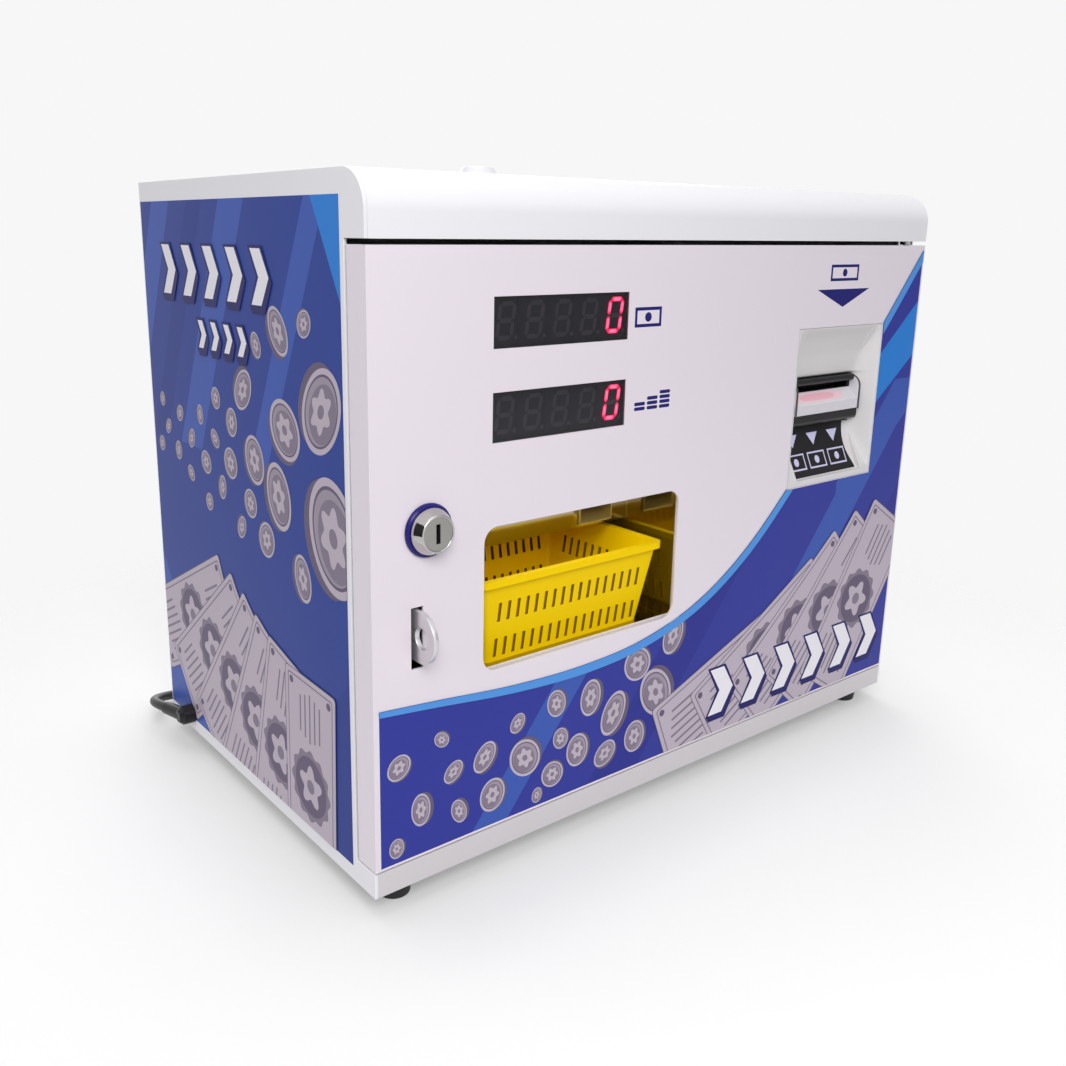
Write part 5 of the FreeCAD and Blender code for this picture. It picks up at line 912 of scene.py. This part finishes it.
def note_tray():
    """Frosted tray with two light patches, D-shaped cheeks and their edging."""
    corners, faces = [], []
    slope = [(TRAY_FRONT, TRAY_SOLE), (TRAY_BACK, TRAY_SOLE), (TRAY_BACK, SLOPE_BACK),
             (TRAY_FRONT, SLOPE_FRONT)]
    add_prism(corners, faces, slope, TRAY_LEFT, TRAY_RIGHT)
    radius, steps = TRAY_BACK - TRAY_FRONT, 10
    turns = [math.pi / 2 * i / steps for i in range(steps + 1)]
    arc = [(TRAY_BACK - radius * math.sin(turn), TRAY_CROWN - radius * (1 - math.cos(turn)))
           for turn in turns]
    cheek = arc + [(TRAY_FRONT, TRAY_SOLE), (TRAY_BACK, TRAY_SOLE)]
    for left in (TRAY_LEFT, TRAY_RIGHT - TRAY_CHEEK):
        add_prism(corners, faces, cheek[::-1], left, left + TRAY_CHEEK)
    tray = mesh_from("Note tray", corners, faces, "door", FROSTED)
    add_bevel(tray, 0.35)
    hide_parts("bill_tray")
    tray_edging(arc)
    rise = (SLOPE_BACK - SLOPE_FRONT) / radius
    for name, finish, lift, reach in (("wide", TRAY_GLOW, 0.06, 1.0),
                                      ("middle", TRAY_GLOW_DEEP, 0.09, 0.66)):
        patch = [(378 + 30 * reach * u, 10.8 + 3.1 * reach * v)
                 for u, v in rounded_rectangle(2.0, 2.0, 0.7)]
        mesh_from(f"Tray light {name}",
                  [at(x, y, SLOPE_FRONT + (y - TRAY_FRONT) * rise + lift) for x, y in patch],
                  [tuple(range(len(patch)))], "door", finish)


def tray_edging(arc):
    """Dark strips along the rounded edges of the tray's cheeks."""
    wide, thick, overhang, ahead_of = 1.7, 0.35, 0.1, 0.15
    corners, faces = [], []
    path = [(y - ahead_of, z) for y, z in arc] + [(TRAY_FRONT - ahead_of, TRAY_SOLE - 0.5)]
    for left in (TRAY_LEFT - overhang, TRAY_RIGHT + overhang - wide):
        first = len(corners)
        right = left + wide
        for index, (y, z) in enumerate(path):
            ahead, behind = path[min(index + 1, len(path) - 1)], path[max(index - 1, 0)]
            along = Vector((ahead[0] - behind[0], ahead[1] - behind[1])).normalized()
            out_y, out_z = along.y * thick, -along.x * thick
            corners += [at(left, y, z), at(right, y, z), at(right, y + out_y, z + out_z),
                        at(left, y + out_y, z + out_z)]
        last = first + 4 * (len(path) - 1)
        for a in range(first, last, 4):
            add_tube_faces(faces, a, a + 4)
        faces.append((first, first + 3, first + 2, first + 1))
        faces.append((last, last + 1, last + 2, last + 3))
    mesh_from("Tray edging", corners, faces, "door", EDGING)


# -------- mains lead

LEAD_RADIUS = 3.5
COIL_X, COIL_Y, COIL_RADIUS = 150.0, 370.0, 40.0


def cord_points():
    """Centre line of the lead in cabinet millimetres, from the strain relief to the plug."""
    floor = LEAD_RADIUS - FOOT_HEIGHT
    way = Vector((-0.17, 0.98, -0.1)).normalized()
    tip = Vector((-6.12, 249, 13)) + way * 26
    bend = tip + way * 11
    outer, inner = COIL_RADIUS + LEAD_RADIUS, COIL_RADIUS - LEAD_RADIUS
    first, second, third = LEAD_RADIUS, 3 * LEAD_RADIUS, 5 * LEAD_RADIUS
    front = COIL_Y - outer
    route = [tip, bend]
    route += [bend + Vector(step)
              for step in ((1.3, 14.1, -3.4), (7.5, 28.1, -8.4), (18.1, 39.2, -13.3))]
    route += [Vector(spot) for spot in (
        (bend.x + 31.6, bend.y + 46.0, floor + 1.5), (bend.x + 48.1, bend.y + 48.1, floor),
        (bend.x + 78, front + 2.6, floor), (COIL_X - 46, front + 1.2, floor),
        (COIL_X - 4, front, floor))]
    # Radius and height of each turn, and the degrees in which it passes over to the next.
    states = [(outer, first), (inner, first), (inner, second), (inner, third),
              (COIL_RADIUS, 23.6), (outer, third), (outer, second)]
    windows = [(240, 275), (200, 235), (160, 195), (120, 155), (80, 115), (40, 75)]
    per_turn = 24
    swell = 1 / math.cos(math.pi / per_turn) ** 0.5
    for turn, (begin, end) in enumerate(windows):
        for step in range(1 if turn == 0 else 0, per_turn):
            phi = 360 * step / per_turn
            share = min(max((phi - begin) / (end - begin), 0), 1)
            share = share * share * (3 - 2 * share)
            radius = (states[turn][0] * (1 - share) + states[turn + 1][0] * share) * swell
            rise = states[turn][1] * (1 - share) + states[turn + 1][1] * share
            angle = math.radians(phi - 90)
            route.append(Vector((COIL_X + radius * math.cos(angle),
                                 COIL_Y + radius * math.sin(angle), -FOOT_HEIGHT + rise)))
    plug_x, plug_y, plug_z = 266.0, 344.0, -1.0
    return route + [Vector(spot) for spot in (
        (COIL_X + 4, front, floor + 7), (COIL_X + 21, front + 0.2, floor + 6.1),
        (COIL_X + 42, front + 2.2, floor + 2.2), (plug_x - 47, plug_y - 6, floor + 0.6),
        (plug_x - 28, plug_y - 1.5, floor + 4), (plug_x - 13, plug_y, plug_z - 0.3),
        (plug_x, plug_y, plug_z))]


def mains_lead():
    """One smooth cord from the strain relief, through its coil, to the plug."""
    route = cord_points()
    curve = bpy.data.curves.new("Lead", "CURVE")
    curve.dimensions = "3D"
    curve.bevel_depth = LEAD_RADIUS * MM
    curve.bevel_resolution = 5
    curve.resolution_u = 6
    spline = curve.splines.new("NURBS")
    spline.points.add(len(route) - 1)
    for point, spot in zip(spline.points, route):
        point.co = (*at(*spot), 1.0)
    spline.order_u = 3
    spline.use_endpoint_u = True
    lead = new_object("Lead", curve, "cabinet", SHEATH)
    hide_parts("power_cord", "cord_coil", "cord_tail")
    cord_tie()


def cord_tie():
    """Flat tie round the coil's turns at its far side."""
    count, half_width, thickness, lowest = 20, 4, 0.9, 0.05
    reach, rise, height = 8.4, 12.0, 11.6
    way = Vector((0.5, 0.866))
    corners, faces = [], []
    for index in range(count):
        turn = math.tau * index / count
        cosine, sine = math.cos(turn), math.sin(turn)
        out = COIL_RADIUS + reach * math.copysign(abs(cosine) ** 0.55, cosine)
        up = max(height + rise * math.copysign(abs(sine) ** 0.55, sine), 0.4)
        for thick, side in ((0, -1), (0, 1), (thickness, 1), (thickness, -1)):
            far, along = out + thick * cosine, side * half_width
            corners.append(at(COIL_X + far * way.x + along * way.y,
                              COIL_Y + far * way.y - along * way.x,
                              max(up + thick * sine, lowest) - FOOT_HEIGHT))
    for index in range(count):
        add_tube_faces(faces, 4 * index, 4 * ((index + 1) % count))
    mesh_from("Cord tie", corners, faces, "cabinet", BLACK)


# -------- studio

# Name, direction, strength and softness in degrees.
SUNS = (("Key", (-0.42, -0.72, 0.62), 0.58, 34),
        ("Front fill", (0.3, -1.0, 0.3), 0.4, 50),
        ("Side fill", (-1.0, -0.1, 0.35), 0.5, 40),
        ("Back fill", (0.5, 1.0, 0.4), 0.7, 50),
        ("Top", (0.05, 0.25, 1.0), 0.85, 50))
# Name, place, aim, width, height and watts.
PANELS = (("Near key", Vector((-0.55, -0.78, 0.76)), Vector((-0.1, -0.14, 0.25)), 0.5, 0.4, 4.0),
          ("Bay lamp", at(149, 24, 201), at(149, 44, 150), 0.13, 0.02, 0.022))
# Name and the two ends of the foot.
CARDS = (("right", (0.55, -1.5), (1.5, -0.7)), ("left", (-1.1, -0.5), (-0.9, 0.1)),
         ("back", (-0.6, 0.35), (-1.3, 1.3)))


def studio():
    scene = bpy.context.scene
    scene.view_settings.view_transform = "Standard"
    studio_world(scene)
    studio_floor()
    for name, spot, strength, soft in SUNS:
        lamp = bpy.data.lights.new(name, "SUN")
        lamp.energy = strength
        lamp.angle = math.radians(soft)
        put_lamp(name, lamp, Vector(spot) * 2, Vector(spot))
    for name, spot, aim, wide, high, power in PANELS:
        lamp = bpy.data.lights.new(name, "AREA")
        lamp.shape = "RECTANGLE"
        lamp.size, lamp.size_y, lamp.energy = wide, high, power
        put_lamp(name, lamp, spot, spot - aim)
    dark_cards()


def put_lamp(name, lamp, spot, back):
    """Lamp at a place, with the side that it shines from turned away from back."""
    made = bpy.data.objects.new(name, lamp)
    made.location = spot
    made.rotation_euler = (-back).to_track_quat("-Z", "Y").to_euler()
    bpy.context.scene.collection.objects.link(made)


def stage_sheet(name, corners, finish):
    """Flat sheet of the studio, which is no part of the object."""
    data = bpy.data.meshes.new(name)
    data.from_pydata(corners, [], [(0, 1, 2, 3)])
    data.materials.append(finish)
    made = bpy.data.objects.new(name, data)
    bpy.context.scene.collection.objects.link(made)
    return made


def dark_cards():
    """Dark upright cards that only reflections show."""
    shade = material("Studio card", "1E1E22", 0.9)
    bottom, top = 0.02, 0.8
    for name, left, right in CARDS:
        card = stage_sheet(f"Card_{name}", [(*left, bottom), (*right, bottom), (*right, top),
                                            (*left, top)], shade)
        card.visible_camera = False
        card.visible_diffuse = False
        card.visible_shadow = False


def seen_rays(tree):
    """Output that is 1 on camera, glossy and transmission rays, and 0 on all others."""
    ray = add_node(tree, "LightPath").outputs
    either = add_node(tree, "Math", ray["Is Camera Ray"], ray["Is Glossy Ray"])
    any_seen = add_node(tree, "Math", either.outputs["Value"], ray["Is Transmission Ray"])
    either.operation = any_seen.operation = "ADD"
    any_seen.use_clamp = True
    return any_seen.outputs["Value"]


def studio_world(scene):
    """Pale background for what is seen, and a weaker light for all else."""
    world = bpy.data.worlds.new("Studio world")
    scene.world = world
    world.use_nodes = True
    tree = world.node_tree
    tree.nodes.clear()
    light = add_node(tree, "Background", srgb("F4F4F8"), 0.34)
    seen = add_node(tree, "Background", srgb("F7F7F7"))
    mix = add_node(tree, "MixShader", seen_rays(tree), light.outputs["Background"],
                   seen.outputs["Background"])
    add_node(tree, "OutputWorld", mix.outputs["Shader"])


FLOOR_COLOUR = "DADAD9"
FLOOR_REACH = 1.2
FADE_START, FADE_END = 0.3, 0.7
# Reach and share of the painted shade beside the base.
CONTACT_SHADE_REACH, CONTACT_SHADE_SHARE = 0.08, 0.25
FLOOR_LIFT = 0.4


def studio_floor():
    """Pale floor, a little darker beside the base by painted shade from an ambient occlusion node,
    that fades into the background.
    """
    paint = material("Floor", FLOOR_COLOUR, 0.9, Specular_IOR_Level=0.1)
    tree = paint.node_tree
    # Painted shade: an ambient occlusion node darkens the floor's colour near the base.
    contact_shade = add_node(tree, "AmbientOcclusion", srgb(FLOOR_COLOUR), CONTACT_SHADE_REACH)
    shade = add_node(tree, "Mix", Factor=CONTACT_SHADE_SHARE)
    shade.data_type = "RGBA"
    bare, shaded = [socket for socket in shade.inputs if socket.type == "RGBA"]
    mixed = [socket for socket in shade.outputs if socket.type == "RGBA"][0]
    bare.default_value = srgb(FLOOR_COLOUR)
    tree.links.new(contact_shade.outputs["Color"], shaded)
    lift = add_node(tree, "Math", seen_rays(tree), FLOOR_LIFT)
    lift.operation = "MULTIPLY"
    set_inputs(shader_of(paint), Base_Color=mixed, Emission_Color=mixed,
               Emission_Strength=lift.outputs["Value"])
    far = add_node(tree, "VectorMath", add_node(tree, "TexCoord").outputs["Object"])
    far.operation = "LENGTH"
    fade = add_node(tree, "MapRange", far.outputs["Value"], FADE_START, FADE_END)
    fade.interpolation_type = "SMOOTHSTEP"
    blend = add_node(tree, "MixShader", fade.outputs["Result"], shader_of(paint).outputs["BSDF"],
                     add_node(tree, "BsdfTransparent").outputs["BSDF"])
    set_inputs(tree.nodes["Material Output"], blend.outputs["Shader"])
    stage_sheet("Floor", [(u * FLOOR_REACH, v * FLOOR_REACH, 0)
                          for u, v in ((-1, -1), (1, -1), (1, 1), (-1, 1))], paint)


def camera():
    """Camera at the photograph's place and view, solved from the cabinet's corners."""
    spot = at(-258.1, -428.8, 353.8)
    turn = Vector((0.23862, -0.65402, -0.06965))
    upright = Matrix(((1, 0, 0), (0, 0, -1), (0, 1, 0)))
    right, down, forward = Matrix.Rotation(turn.length, 3, turn.normalized()) @ upright
    data = bpy.data.cameras.new("Camera")
    data.sensor_width = 36.0
    data.sensor_fit = "HORIZONTAL"
    data.lens = 35.23
    data.shift_x = 0.0429
    data.shift_y = -0.0394
    made = bpy.data.objects.new("Camera", data)
    view = Matrix((right, -down, -forward)).transposed().to_4x4()
    made.matrix_world = Matrix.Translation(spot) @ view
    bpy.context.scene.collection.objects.link(made)
    bpy.context.scene.camera = made


finish_nodes()
paint_slot_shade()
paint_board()
side_print()
door_print()
for name in DISPLAYS:
    number_display(name)
for name in DISPLAYS:
    solder_joints(name)
acceptor_skin()
acceptor_card()
note_tray()
mains_lead()
studio()
camera()
